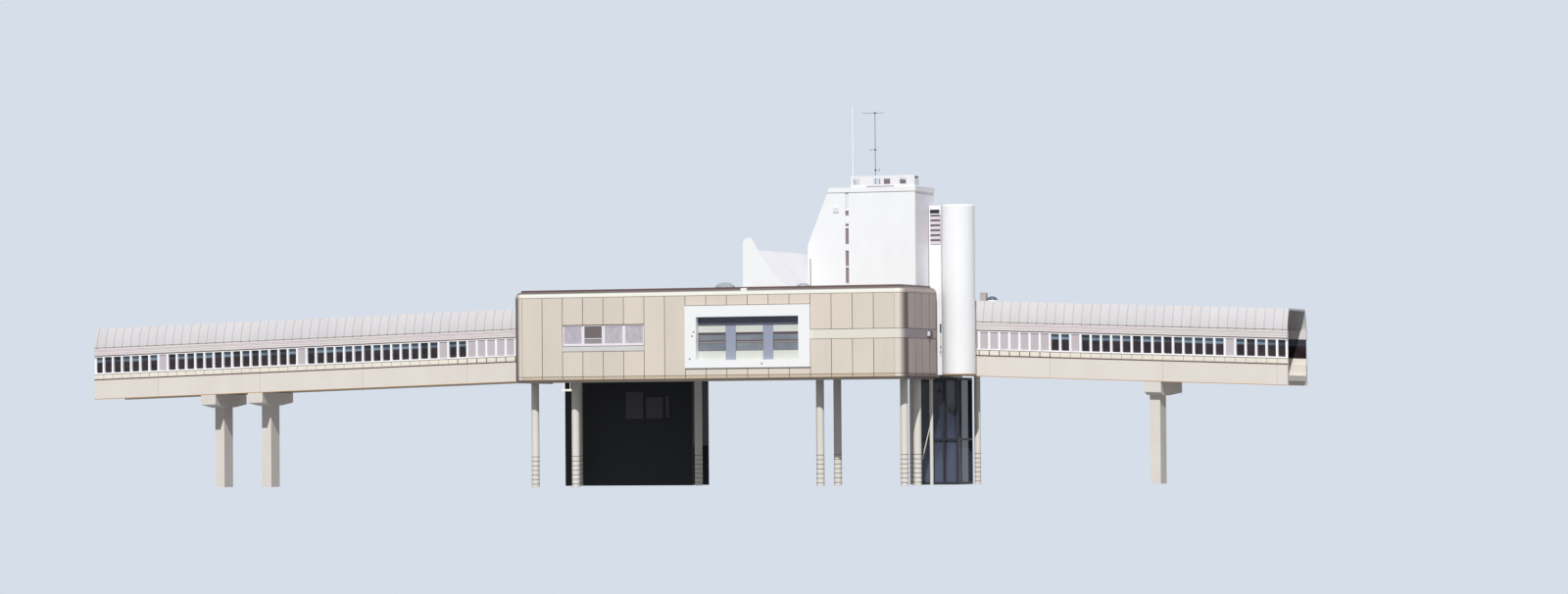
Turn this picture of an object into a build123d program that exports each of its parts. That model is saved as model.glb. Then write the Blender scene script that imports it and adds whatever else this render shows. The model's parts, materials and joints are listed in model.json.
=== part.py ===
"""Elevated railway station hall with two walkway bridges, as a 1:2 scale model.

All values are millimetres of the model, so the real building is twice as large. X runs along the
front, from the hall's first panel joint. Y runs away from the viewer, from the hall's front face.
Z is up from the ground. At the end every piece is moved so that the origin is at the middle of the
building's footprint.
"""

import math
import os
from dataclasses import dataclass

from build123d import *

# Hall body, a box on columns with rounded corners and a rounded roof edge
PANEL = 625.0
FRONT_PANELS = 18
CORNER_RADIUS = 290.0
HALL_BOTTOM = 3030.0
HALL_HEIGHT = 2520.0
BLOCK_DEPTH = 2950.0
SHAFT_STRIP = 775.0
PASSAGE_SETBACK = 200.0
WALKWAY_WIDTH = 2075.0
WALL = 150.0
ROOF_THICKNESS = 175.0
EDGE_RADIUS = 160.0
REAR_ROOF_STEP = 40.0
FLOOR_THICKNESS = 150.0
BEAM_DEPTH = 200.0
BEAM_WIDTH = 240.0

# Trim on the hall body
BAND_PROUD = 6.0
BAND_HEIGHT = 255.0
BAND_BOTTOM = 4115.0
BAND_END_Y = 2200.0
EDGE_TRIM_HEIGHT = 45.0
EDGE_TRIM_WIDTH = 25.0

# Big window in its white surround, measured in whole panels along the front
SURROUND_FIRST_PANEL = 8
SURROUND_PANELS = 6
SURROUND_BOTTOM = 3335.0
SURROUND_HEIGHT = 1750.0
SURROUND_PROUD = 50.0
SURROUND_SIDE_BAND = 340.0
SURROUND_TOP_BAND = 320.0
SURROUND_SILL_BAND = 220.0
PIER_WIDTH = 300.0
PIER_DEPTH = 110.0
BIG_WINDOW_PANES = 3
HEADER_HEIGHT = 225.0
HEADER_DEPTH = 75.0
UPPER_BOARD_HEIGHT = 165.0
LOWER_BOARD_HEIGHT = 240.0
BOARD_THICKNESS = 20.0
TRANSOM_HEIGHT = 25.0

# Ribbon windows, one at the front and two at the back
RIBBON_FIRST_PANEL = 2
REAR_RIBBON_FIRST_PANELS = (2, 12)
RIBBON_PANELS = 4
RIBBON_BOTTOM = 3990.0
RIBBON_HEIGHT = 600.0
RIBBON_SILL_HEIGHT = 145.0
RIBBON_SILL_PROUD = 12.0
FRAME_BAR = 30.0
FRAME_DEPTH = 60.0
FRAME_SETBACK = 20.0
GLASS = 12.0

# Columns under the hall
COLUMN_RADIUS = 112.0
FRONT_ROW_Y = 920.0
FRONT_ROW_SHARES = (0.0, 0.111, 0.772, 0.994)
MIDDLE_ROW_OFFSETS = (-620.0, -936.0)
REAR_ROW_OFFSET = 1150.0
REAR_ROW_SHARES = (0.0, 0.3333, 0.6667, 0.919)
END_POST_RADIUS = 51.0
END_POST_OFFSET = 220.0
LANDING_COLUMN_OFFSET = 784.0
LANDING_COLUMN_RADIUS = 90.0

# Sail-shaped rooflight across the roof
SAIL_X = 6680.0
SAIL_TOP_HEIGHT = 1425.0
SAIL_TOP_RADIUS = 155.0
SAIL_WIDTH = 1330.0
SAIL_SHELL_HEIGHT = 1075.0
SAIL_SHELL = 50.0
SAIL_INSET = 190.0
FIN_THICKNESS = 100.0

# Technical tower with a slanted left shoulder
TOWER_END_GAP = 25.0
TOWER_FORWARD = 1100.0
TOWER_DEPTH = 1600.0
TOWER_HEIGHT = 2845.0
SHOULDER_HEIGHT = 1255.0
SHOULDER_RUN = 650.0
TOWER_WALL = 125.0
COPING_HEIGHT = 135.0
COPING_PROUD = 22.0
SLOT_OFFSET = 1130.0
SLOT_WIDTH = 100.0
SLOT_BOTTOM = 150.0
SLOT_HEIGHT = 2570.0
SLOT_PANE_HEIGHTS = (435.0, 435.0, 440.0, 75.0, 130.0, 500.0)
SLOT_RECESS = 45.0
TOWER_VENT_OFFSET = 765.0
TOWER_VENT_LEVEL = 2150.0
TOWER_VENT_WIDTH = 175.0
TOWER_VENT_HEIGHT = 140.0

# Screen, pole and aerials on top of the tower
SCREEN_HEIGHT = 315.0
SCREEN_SHEET = 20.0
SCREEN_LEFT_INSET = 1300.0
SCREEN_EDGE_INSET = 12.0
SCREEN_OPENINGS = (75.0, 690.0, 985.0, 1460.0)
SCREEN_OPENING_WIDTH = 190.0
SCREEN_OPENING_HEIGHT = 170.0
UNIT_WIDTH = 330.0
UNIT_DEPTH = 450.0
UNIT_HEIGHT = 240.0
POLE_HEIGHT = 2290.0
POLE_RADIUS = 18.0
POLE_OFFSET = 50.0
MAST_HEIGHT = 2130.0
MAST_RADIUS = 14.0
MAST_INSET = 600.0
AERIAL_BOOM = 645.0
AERIAL_ROD = 5.0
AERIAL_ELEMENTS = 7
AERIAL_SHORTEST = 95.0
AERIAL_STEP = 7.0
AERIAL_TIP = 40.0
LOW_AERIALS = ((0.5, -150.0), (0.23, 130.0))

# Louvre shaft and round shaft at the hall's right end
SHAFT_WIDTH = 350.0
SHAFT_GAP = 10.0
SHAFT_BOTTOM = 3100.0
SHAFT_HEIGHT = 4780.0
SHAFT_WALL = 60.0
LOUVRE_MARGIN = 40.0
LOUVRE_HEIGHT = 815.0
LOUVRE_BLADES = 8
BLADE_DEPTH = 90.0
BLADE_THICKNESS = 14.0
BLADE_TILT = 40.0
AIR_SLOT_DROP = 130.0
AIR_SLOT_HEIGHT = 85.0
AIR_SLOT_GAP = 65.0
ROUND_RADIUS = 465.0
ROUND_OFFSET = 170.0
ROUND_WALL = 60.0
ROUND_EXTRA = 15.0

# Roof domes and vents
DOME_CURB = 45.0
DOME_STEPS = 6
BIG_DOME_X = 5940.0
BIG_DOME_RADIUS = 285.0
BIG_DOME_RISE = 155.0
SMALL_DOME_X = 8290.0
SMALL_DOME_RADIUS = 200.0
SMALL_DOME_RISE = 95.0
DOME_Y = 700.0
ROOF_VENT_X = 1870.0
ROOF_VENT_RADIUS = 60.0
ROOF_VENT_HEIGHT = 75.0
HATCH_X = 12260.0
HATCH_SETBACK = 675.0
HATCH_WIDTH = 175.0
HATCH_HEIGHT = 250.0
HATCH_GAP = 10.0
HATCH_DOME_RADIUS = 155.0
HATCH_DOME_RISE = 110.0

# Walkway bridges, whose parts follow the slope but keep plumb ends and mullions
WALKWAY_BOTTOM = 3100.0
GIRDER_HEIGHT = 585.0
GIRDER_WALL = 130.0
DECK_LEVEL = 280.0
DECK_THICKNESS = 150.0
SILL_HEIGHT = 170.0
SILL_SETBACK = 18.0
SILL_THICKNESS = 90.0
PANE_HEIGHT = 540.0
MULLION = 60.0
WINDOW_RAIL = 34.0
WINDOW_SETBACK = 30.0
WINDOW_DEPTH = 55.0
INFILL_THICKNESS = 20.0
FASCIA_HEIGHT = 250.0
FASCIA_THICKNESS = 100.0
FASCIA_PROUD = 8.0
GUTTER_HEIGHT = 70.0
ROOF_RISE = 590.0
ROOF_LEAN = 190.0
ROOF_BULGE = 26.0
ROOF_SHELL = 50.0
OPAQUE_PANES = 11
SINGLE_OPAQUE_PANE_NUMBERS = (13, 28, 43)
LEFT_PANES = 51
LEFT_PANE_WIDTH = 307.0
LEFT_SLOPE = 0.028
LEFT_PIERS = (10285.0, 11840.0)
RIGHT_PANES = 34
RIGHT_PANE_WIDTH = 300.0
RIGHT_SLOPE = 0.0385
RIGHT_PIERS = (6305.0,)
DOORWAY_HEIGHT = 1200.0

# Hammerhead piers under the walkways
PIER_HEAD_WIDTH = 480.0
PIER_HEAD_TIP = 295.0
PIER_HEAD_TAPER = 85.0
PIER_COLUMN_WIDTH = 300.0
PIER_COLUMN_DEPTH = 570.0
RIGHT_PIER_FORWARD = 540.0

# Glazed lobby and stair enclosure on the ground
LOBBY_INSET = 710.0
LOBBY_WIDTH = 1270.0
LOBBY_DEPTH = 1270.0
LOBBY_POST = 60.0
LOBBY_PANELS = 3
LOBBY_RAIL = 70.0
LOBBY_TRANSOM_LEVEL = 1250.0
LOBBY_DOOR_WIDTH = 800.0
LOBBY_DOOR_HEIGHT = 1150.0
STAIR_X = -600.0
STAIR_WIDTH = 4000.0
STAIR_DEPTH = 1300.0
STAIR_WALL = 70.0
STAIR_WINDOW_WIDTH = 380.0
STAIR_WINDOW_HEIGHT = 420.0
STAIR_WINDOW_BOTTOM = 2150.0
STAIR_WINDOW_OFFSETS = (2050.0, 2650.0)
STAIR_DOOR_HEIGHT = 1150.0

# Lamp under the front beam
LAMP_X = 788.0
LAMP_SETBACK = 100.0
LAMP_LENGTH = 320.0
LAMP_SECTION = 60.0
LAMP_DROP = 235.0
LAMP_ROD = 8.0

# Places worked out from the sizes above
WALKWAY_Y = BLOCK_DEPTH + SHAFT_STRIP
WALKWAY_BACK = WALKWAY_Y + WALKWAY_WIDTH
HALL_DEPTH = WALKWAY_BACK + PASSAGE_SETBACK
HALL_LEFT = -CORNER_RADIUS
FLAT_RIGHT = FRONT_PANELS * PANEL
HALL_RIGHT = FLAT_RIGHT + CORNER_RADIUS
HALL_TOP = HALL_BOTTOM + HALL_HEIGHT
WALL_TOP = HALL_TOP - ROOF_THICKNESS
FLOOR_BOTTOM = HALL_BOTTOM + BEAM_DEPTH
FLOOR_LEVEL = FLOOR_BOTTOM + FLOOR_THICKNESS
SURROUND_LEFT = SURROUND_FIRST_PANEL * PANEL
SURROUND_RIGHT = SURROUND_LEFT + SURROUND_PANELS * PANEL
SURROUND_TOP = SURROUND_BOTTOM + SURROUND_HEIGHT
RIBBON_TOP = RIBBON_BOTTOM + RIBBON_HEIGHT
FRONT_COLUMN_XS = tuple(share * FLAT_RIGHT for share in FRONT_ROW_SHARES)
REAR_COLUMN_XS = tuple(share * FLAT_RIGHT for share in REAR_ROW_SHARES)
COLUMN_ROWS = (FRONT_ROW_Y, BLOCK_DEPTH + REAR_ROW_OFFSET)
SAIL_BACK_Y = HALL_DEPTH - SAIL_INSET
TOWER_X = SAIL_X + SAIL_WIDTH
TOWER_RIGHT = FLAT_RIGHT - TOWER_END_GAP
TOWER_Y = BLOCK_DEPTH - TOWER_FORWARD
TOWER_BACK = TOWER_Y + TOWER_DEPTH
TOWER_TOP = HALL_TOP + TOWER_HEIGHT
SHAFT_RIGHT = FLAT_RIGHT + SHAFT_WIDTH
SHAFT_TOP = SHAFT_BOTTOM + SHAFT_HEIGHT
LOBBY_X = FLAT_RIGHT - LOBBY_INSET
SILL_BASE = GIRDER_HEIGHT
PANE_BASE = SILL_BASE + SILL_HEIGHT
FASCIA_BASE = PANE_BASE + PANE_HEIGHT
ROOF_BASE = FASCIA_BASE + FASCIA_HEIGHT


@dataclass(frozen=True)
class Walkway:
    """One enclosed bridge that leaves an end of the hall and falls away from it."""

    name: str
    wall_x: float
    direction: int
    slope: float
    panes: int
    pane_width: float
    pier_offsets: tuple
    pier_forward: float

    @property
    def length(self):
        return self.panes * self.pane_width

    @property
    def far_x(self):
        return self.wall_x + self.direction * self.length

    def fall(self, x):
        """Height lost between the hall's wall and x."""
        return self.slope * abs(x - self.wall_x)

    def span(self, first, last):
        """X of two distances from the hall's wall, lower one first."""
        ends = (self.wall_x + self.direction * first, self.wall_x + self.direction * last)
        return min(ends), max(ends)

    def side(self, x0, x1, low, high, y, depth):
        """Slab with plumb ends whose lower and upper edges follow the slope."""
        corners = [(x, WALKWAY_BOTTOM + level - self.fall(x))
                   for x, level in ((x0, low), (x1, low), (x1, high), (x0, high))]
        face = make_face(Polyline(corners, close=True))
        return extrude(Plane((0, y, 0), x_dir=(1, 0, 0), z_dir=(0, -1, 0)) * face,
                       amount=depth, dir=(0, 1, 0))


LEFT_WALKWAY = Walkway("left", 0.0, -1, LEFT_SLOPE, LEFT_PANES, LEFT_PANE_WIDTH, LEFT_PIERS, 0.0)
RIGHT_WALKWAY = Walkway("right", FLAT_RIGHT, 1, RIGHT_SLOPE, RIGHT_PANES, RIGHT_PANE_WIDTH,
                        RIGHT_PIERS, RIGHT_PIER_FORWARD)
WALKWAYS = (LEFT_WALKWAY, RIGHT_WALKWAY)

ORIGIN_X = (LEFT_WALKWAY.far_x + RIGHT_WALKWAY.far_x) / 2
ORIGIN_Y = (HALL_DEPTH + RIBBON_SILL_PROUD - SURROUND_PROUD) / 2


def block(x0, x1, y0, y1, z0, z1):
    """Box between two corners."""
    box = Box(x1 - x0, y1 - y0, z1 - z0)
    return Pos((x0 + x1) / 2, (y0 + y1) / 2, (z0 + z1) / 2) * box


def rod(x, y, z0, z1, radius):
    """Upright round bar."""
    bar = Cylinder(radius, z1 - z0, align=(Align.CENTER, Align.CENTER, Align.MIN))
    return Pos(x, y, z0) * bar


def front_view(face, y, depth):
    """Extrude a face drawn in X and Z from y towards the back."""
    return extrude(Plane((0, y, 0), x_dir=(1, 0, 0), z_dir=(0, -1, 0)) * face,
                   amount=depth, dir=(0, 1, 0))


def together(pieces):
    """Keep pieces that don't touch as the separate solids of one node."""
    return Compound(children=[solid for piece in pieces for solid in piece.solids()])


def fused(pieces):
    """Join overlapping pieces into one solid."""
    first, *rest = pieces
    return first.fuse(*rest).clean() if rest else first


def block_outline(inset=0.0):
    """Plan of the front block, drawn in by an inset."""
    width = HALL_RIGHT - HALL_LEFT - 2 * inset
    depth = BLOCK_DEPTH - 2 * inset
    centre = Pos((HALL_LEFT + HALL_RIGHT) / 2, BLOCK_DEPTH / 2, 0)
    return centre * RectangleRounded(width, depth, CORNER_RADIUS - inset)


def rear_outline(inset=0.0):
    """Plan of the rear block, whose two back corners are round."""
    front = BLOCK_DEPTH - CORNER_RADIUS
    centre = Pos(FLAT_RIGHT / 2, (front + HALL_DEPTH - inset) / 2, 0)
    plan = centre * Rectangle(FLAT_RIGHT - 2 * inset, HALL_DEPTH - inset - front)
    back = plan.vertices().group_by(Axis.Y)[-1]
    return fillet(back, CORNER_RADIUS - inset)


def rise(face, z0, z1):
    """Extrude a plan face between two levels."""
    return Pos(0, 0, z0) * extrude(face, amount=z1 - z0)


def hall_rings():
    """Shells of the two blocks, from which the walls and corner pieces are cut."""
    front = rise(block_outline() - block_outline(WALL), HALL_BOTTOM, WALL_TOP)
    rear = rise(rear_outline() - rear_outline(WALL), HALL_BOTTOM, WALL_TOP)
    rear &= block(HALL_LEFT, HALL_RIGHT, BLOCK_DEPTH, HALL_DEPTH, HALL_BOTTOM, WALL_TOP)
    return front, rear


def hall_walls(front, rear):
    """Flat walls of the hall, with their windows and doorways cut through."""
    bottom, top = HALL_BOTTOM, WALL_TOP
    side_back = BLOCK_DEPTH - CORNER_RADIUS
    surround = block(SURROUND_LEFT, SURROUND_RIGHT, 0, WALL, SURROUND_BOTTOM, SURROUND_TOP)
    front_wall = front & block(0, FLAT_RIGHT, 0, WALL, bottom, top)
    front_wall -= surround
    front_wall -= ribbon_opening(RIBBON_FIRST_PANEL, 0, WALL)
    back_wall = rear & block(CORNER_RADIUS, FLAT_RIGHT - CORNER_RADIUS,
                             HALL_DEPTH - WALL, HALL_DEPTH, bottom, top)
    for panel in REAR_RIBBON_FIRST_PANELS:
        back_wall -= ribbon_opening(panel, HALL_DEPTH - WALL, HALL_DEPTH)
    ends = [front & block(x0, x1, CORNER_RADIUS, side_back, bottom, top)
            for x0, x1 in ((HALL_LEFT, HALL_LEFT + WALL), (HALL_RIGHT - WALL, HALL_RIGHT))]
    doorway_front = WALKWAY_Y + GIRDER_WALL
    doorway_back = WALKWAY_BACK - GIRDER_WALL
    passage = []
    for x0, x1 in ((0, WALL), (FLAT_RIGHT - WALL, FLAT_RIGHT)):
        wall = rear & block(x0, x1, BLOCK_DEPTH, HALL_DEPTH - CORNER_RADIUS, bottom, top)
        wall -= block(x0, x1, doorway_front, doorway_back, FLOOR_LEVEL, FLOOR_LEVEL + DOORWAY_HEIGHT)
        passage.append(wall)
    return {
        "hall_front_wall": front_wall,
        "hall_back_wall": back_wall,
        "hall_end_walls": together(ends),
        "passage_end_walls": together(passage),
    }


def hall_corners(front, rear):
    """Round corner pieces, those behind with a short return to the passage."""
    bottom, top = HALL_BOTTOM, WALL_TOP
    side_back = BLOCK_DEPTH - CORNER_RADIUS
    pieces = []
    for x0, x1, inner in ((HALL_LEFT, 0, WALL), (FLAT_RIGHT, HALL_RIGHT, FLAT_RIGHT - WALL)):
        pieces.append(front & block(x0, x1, 0, CORNER_RADIUS, bottom, top))
        pieces.append(front & block(min(x0, inner), max(x1, inner), side_back, BLOCK_DEPTH,
                                    bottom, top))
    for x0, x1 in ((0, CORNER_RADIUS), (FLAT_RIGHT - CORNER_RADIUS, FLAT_RIGHT)):
        pieces.append(rear & block(x0, x1, HALL_DEPTH - CORNER_RADIUS, HALL_DEPTH, bottom, top))
    return together(pieces)


def hall_roof():
    """Roof plate with a rounded edge all round both blocks."""
    front = rise(block_outline(), WALL_TOP, HALL_TOP)
    front = fillet(front.faces().sort_by(Axis.Z)[-1].edges(), EDGE_RADIUS)
    rear = rise(rear_outline(), WALL_TOP, HALL_TOP - REAR_ROOF_STEP)
    rear &= block(HALL_LEFT, HALL_RIGHT, BLOCK_DEPTH, HALL_DEPTH, WALL_TOP, HALL_TOP)
    open_edges = [edge for edge in rear.faces().sort_by(Axis.Z)[-1].edges()
                  if edge.center().Y > BLOCK_DEPTH + 1]
    rear = fillet(open_edges, EDGE_RADIUS - REAR_ROOF_STEP)
    plinth = block(SAIL_X, TOWER_RIGHT, BLOCK_DEPTH - EDGE_RADIUS, TOWER_BACK,
                   HALL_TOP - REAR_ROOF_STEP, HALL_TOP)
    sail_plinth = block(SAIL_X, SAIL_X + SAIL_WIDTH, TOWER_BACK, SAIL_BACK_Y,
                        HALL_TOP - REAR_ROOF_STEP, HALL_TOP)
    return fused([front, rear, plinth, sail_plinth])


def hall_floor():
    """Floor slab inside the walls of both blocks."""
    front = rise(block_outline(WALL), FLOOR_BOTTOM, FLOOR_LEVEL)
    rear = rise(rear_outline(WALL), FLOOR_BOTTOM, FLOOR_LEVEL)
    rear &= block(HALL_LEFT, HALL_RIGHT, BLOCK_DEPTH - WALL, HALL_DEPTH, FLOOR_BOTTOM, FLOOR_LEVEL)
    return fused([front, rear])


def long_beams():
    """Beams along the building, one over each row of columns."""
    half = BEAM_WIDTH / 2
    ends = ((HALL_LEFT + WALL, HALL_RIGHT - WALL), (WALL, FLAT_RIGHT - WALL))
    return together([block(x0, x1, y - half, y + half, HALL_BOTTOM, FLOOR_BOTTOM)
                     for (x0, x1), y in zip(ends, COLUMN_ROWS)])


def cross_beams():
    """Beams from front to back over the inner and middle columns, between the long beams."""
    half = BEAM_WIDTH / 2
    stops = [WALL, *(edge for y in COLUMN_ROWS for edge in (y - half, y + half)), HALL_DEPTH - WALL]
    pieces = [block(x - half, x + half, y0, y1, HALL_BOTTOM, FLOOR_BOTTOM)
              for x in REAR_COLUMN_XS[1:-1] for y0, y1 in zip(stops[::2], stops[1::2])]
    ends = (COLUMN_ROWS[1] - half, BLOCK_DEPTH - WALL)
    pieces += [block(x - half, min(x + half, FLAT_RIGHT), COLUMN_ROWS[0] + half, end, HALL_BOTTOM,
                     FLOOR_BOTTOM) for x, end in zip(FRONT_COLUMN_XS[2:], ends)]
    return together(pieces)


def hall_columns():
    """Round concrete columns, a slim post under the right end and one column under the walkway."""
    places = [(x, y) for xs, y in zip((FRONT_COLUMN_XS, REAR_COLUMN_XS), COLUMN_ROWS) for x in xs]
    places += [(x, BLOCK_DEPTH + offset)
               for x, offset in zip(FRONT_COLUMN_XS[2:], MIDDLE_ROW_OFFSETS)]
    pieces = [rod(x, y, 0, HALL_BOTTOM, COLUMN_RADIUS) for x, y in places]
    pieces.append(rod(FLAT_RIGHT - END_POST_RADIUS, BLOCK_DEPTH + END_POST_OFFSET, 0, HALL_BOTTOM,
                      END_POST_RADIUS))
    x, y = FLAT_RIGHT + LANDING_COLUMN_OFFSET, (WALKWAY_Y + WALKWAY_BACK) / 2
    x0, x1 = x - LANDING_COLUMN_RADIUS, x + LANDING_COLUMN_RADIUS
    landing = rod(x, y, 0, WALKWAY_BOTTOM + DECK_LEVEL, LANDING_COLUMN_RADIUS)
    pieces.append(landing - RIGHT_WALKWAY.side(x0, x1, DECK_LEVEL - DECK_THICKNESS, GIRDER_HEIGHT,
                                               WALKWAY_Y, WALKWAY_WIDTH))
    return together(pieces)


def side_band():
    """Narrow flush band that runs from the surround round the right corner."""
    ring = block_outline(-BAND_PROUD) - block_outline()
    band = rise(ring, BAND_BOTTOM, BAND_BOTTOM + BAND_HEIGHT)
    return band & block(SURROUND_RIGHT, HALL_RIGHT + BAND_PROUD, -BAND_PROUD, BAND_END_Y,
                        HALL_BOTTOM, HALL_TOP)


def roof_edge_trim():
    """Thin dark upstand that follows the roof edge at the front and both ends."""
    ring = block_outline(EDGE_RADIUS) - block_outline(EDGE_RADIUS + EDGE_TRIM_WIDTH)
    trim = rise(ring, HALL_TOP, HALL_TOP + EDGE_TRIM_HEIGHT)
    return trim & block(HALL_LEFT, HALL_RIGHT, 0, BLOCK_DEPTH - CORNER_RADIUS, HALL_TOP, TOWER_TOP)


def ribbon_opening(first_panel, y0, y1):
    """Cutter for one ribbon window with its sill band."""
    x0 = first_panel * PANEL
    return block(x0, x0 + RIBBON_PANELS * PANEL, y0, y1, RIBBON_BOTTOM, RIBBON_TOP)


def window_frame(x0, x1, z0, z1, bays, y, depth):
    """Frame with one light between bars for each bay."""
    frame = block(x0, x1, y, y + depth, z0, z1)
    pitch = (x1 - x0) / bays
    for bay in range(bays):
        left = x0 + bay * pitch + (FRAME_BAR if bay == 0 else FRAME_BAR / 2)
        right = x0 + (bay + 1) * pitch - (FRAME_BAR if bay == bays - 1 else FRAME_BAR / 2)
        frame -= block(left, right, y, y + depth, z0 + FRAME_BAR, z1 - FRAME_BAR)
    return frame


def ribbon_windows():
    """Frames, glass and sill bands of the three ribbon windows."""
    back_outer = HALL_DEPTH - FRAME_SETBACK - FRAME_DEPTH
    places = [(RIBBON_FIRST_PANEL, FRAME_SETBACK, FRAME_SETBACK + FRAME_DEPTH, -RIBBON_SILL_PROUD)]
    places += [(panel, back_outer, back_outer - GLASS, HALL_DEPTH)
               for panel in REAR_RIBBON_FIRST_PANELS]
    frames, glass, sills = [], [], []
    for panel, frame_y, glass_y, sill_y in places:
        x0 = panel * PANEL
        x1 = x0 + RIBBON_PANELS * PANEL
        frames.append(window_frame(x0, x1, RIBBON_BOTTOM, RIBBON_TOP, RIBBON_PANELS,
                                   frame_y, FRAME_DEPTH))
        glass.append(block(x0, x1, glass_y, glass_y + GLASS, RIBBON_BOTTOM, RIBBON_TOP))
        sills.append(block(x0, x1, sill_y, sill_y + RIBBON_SILL_PROUD,
                           RIBBON_BOTTOM - RIBBON_SILL_HEIGHT, RIBBON_BOTTOM))
    return {
        "ribbon_window_frames": together(frames),
        "ribbon_window_glass": together(glass),
        "ribbon_sills": together(sills),
    }


def big_window():
    """White surround with three recessed panes between wide piers."""
    x0 = SURROUND_LEFT + SURROUND_SIDE_BAND
    x1 = SURROUND_RIGHT - SURROUND_SIDE_BAND
    z0 = SURROUND_BOTTOM + SURROUND_SILL_BAND
    z1 = SURROUND_TOP - SURROUND_TOP_BAND
    back = WALL
    surround = block(SURROUND_LEFT, SURROUND_RIGHT, -SURROUND_PROUD, back,
                     SURROUND_BOTTOM, SURROUND_TOP)
    surround -= block(x0, x1, -SURROUND_PROUD, back, z0, z1)
    rim = FRAME_BAR
    frame = block(x0 - rim, x1 + rim, back, back + PIER_DEPTH, z0 - rim, z1 + rim)
    pane = (x1 - x0 - (BIG_WINDOW_PANES - 1) * PIER_WIDTH) / BIG_WINDOW_PANES
    board_y = back + PIER_DEPTH - GLASS - BOARD_THICKNESS
    head = z1 - HEADER_HEIGHT
    transom_z = (z0 + LOWER_BOARD_HEIGHT + head - UPPER_BOARD_HEIGHT) / 2
    panes, boards = [], []
    for number in range(BIG_WINDOW_PANES):
        left = x0 + number * (pane + PIER_WIDTH)
        frame -= block(left, left + pane, back, back + PIER_DEPTH, z0, z1)
        panes.append(block(left, left + pane, board_y + BOARD_THICKNESS, back + PIER_DEPTH, z0, z1))
        boards.append(block(left, left + pane, board_y, board_y + BOARD_THICKNESS,
                            z0, z0 + LOWER_BOARD_HEIGHT))
        boards.append(block(left, left + pane, board_y, board_y + BOARD_THICKNESS,
                            head - UPPER_BOARD_HEIGHT, head))
        boards.append(block(left, left + pane, board_y, board_y + BOARD_THICKNESS,
                            transom_z - TRANSOM_HEIGHT / 2, transom_z + TRANSOM_HEIGHT / 2))
    header = block(x0, x1, back - HEADER_DEPTH, back, head, z1)
    return {
        "window_surround": surround,
        "big_window_frame": frame,
        "big_window_header": header,
        "big_window_boards": together(boards),
        "big_window_glass": together(panes),
    }


def sail_profile():
    """End view of the sail: upright left side, half-round top and a hollow curve to the right."""
    left = SAIL_X
    base = HALL_TOP
    centre_x = left + SAIL_TOP_RADIUS
    centre_z = base + SAIL_TOP_HEIGHT - SAIL_TOP_RADIUS
    lean = 27.5
    shoulder = Vector(centre_x, centre_z) + Vector(SAIL_TOP_RADIUS, 0).rotate(Axis.Z, lean)
    downward = Vector(1, 0).rotate(Axis.Z, lean - 90)
    top = Vector(centre_x, centre_z + SAIL_TOP_RADIUS)
    foot = Vector(left + SAIL_WIDTH, base)
    crown = ThreePointArc((left, centre_z), top, shoulder)
    hollow = TangentArc(shoulder, foot, tangent=downward)
    sides = Polyline(foot, (left, base), (left, centre_z))
    return make_face([crown, hollow, *sides.edges()])


def sail():
    """Fins at both ends and the lower shell between them."""
    fins = [front_view(sail_profile(), y, FIN_THICKNESS)
            for y in (SAIL_INSET, SAIL_BACK_Y - FIN_THICKNESS)]
    low = Pos(SAIL_X + SAIL_WIDTH / 2, HALL_TOP + SAIL_SHELL_HEIGHT / 2) * Rectangle(
        SAIL_WIDTH, SAIL_SHELL_HEIGHT)
    outside = (sail_profile() & low).face()
    inside = offset(outside, amount=-SAIL_SHELL, kind=Kind.INTERSECTION)
    floor_strip = Pos(SAIL_X + SAIL_WIDTH / 2, HALL_TOP + SAIL_SHELL / 2) * Rectangle(
        SAIL_WIDTH - 3 * SAIL_SHELL, SAIL_SHELL)
    section = outside - inside - floor_strip
    first = SAIL_INSET + FIN_THICKNESS
    shell = front_view(section, first, SAIL_BACK_Y - FIN_THICKNESS - first)
    return {"sail_fins": together(fins), "sail_shell": shell}


def tower_profile(inset=0.0):
    """End view of the tower with its slanted left shoulder."""
    corners = [
        (TOWER_X, HALL_TOP),
        (TOWER_RIGHT, HALL_TOP),
        (TOWER_RIGHT, TOWER_TOP),
        (TOWER_X + SHOULDER_RUN, TOWER_TOP),
        (TOWER_X, HALL_TOP + SHOULDER_HEIGHT),
    ]
    face = make_face(Polyline(corners, close=True))
    return offset(face, amount=-inset, kind=Kind.INTERSECTION) if inset else face


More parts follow.
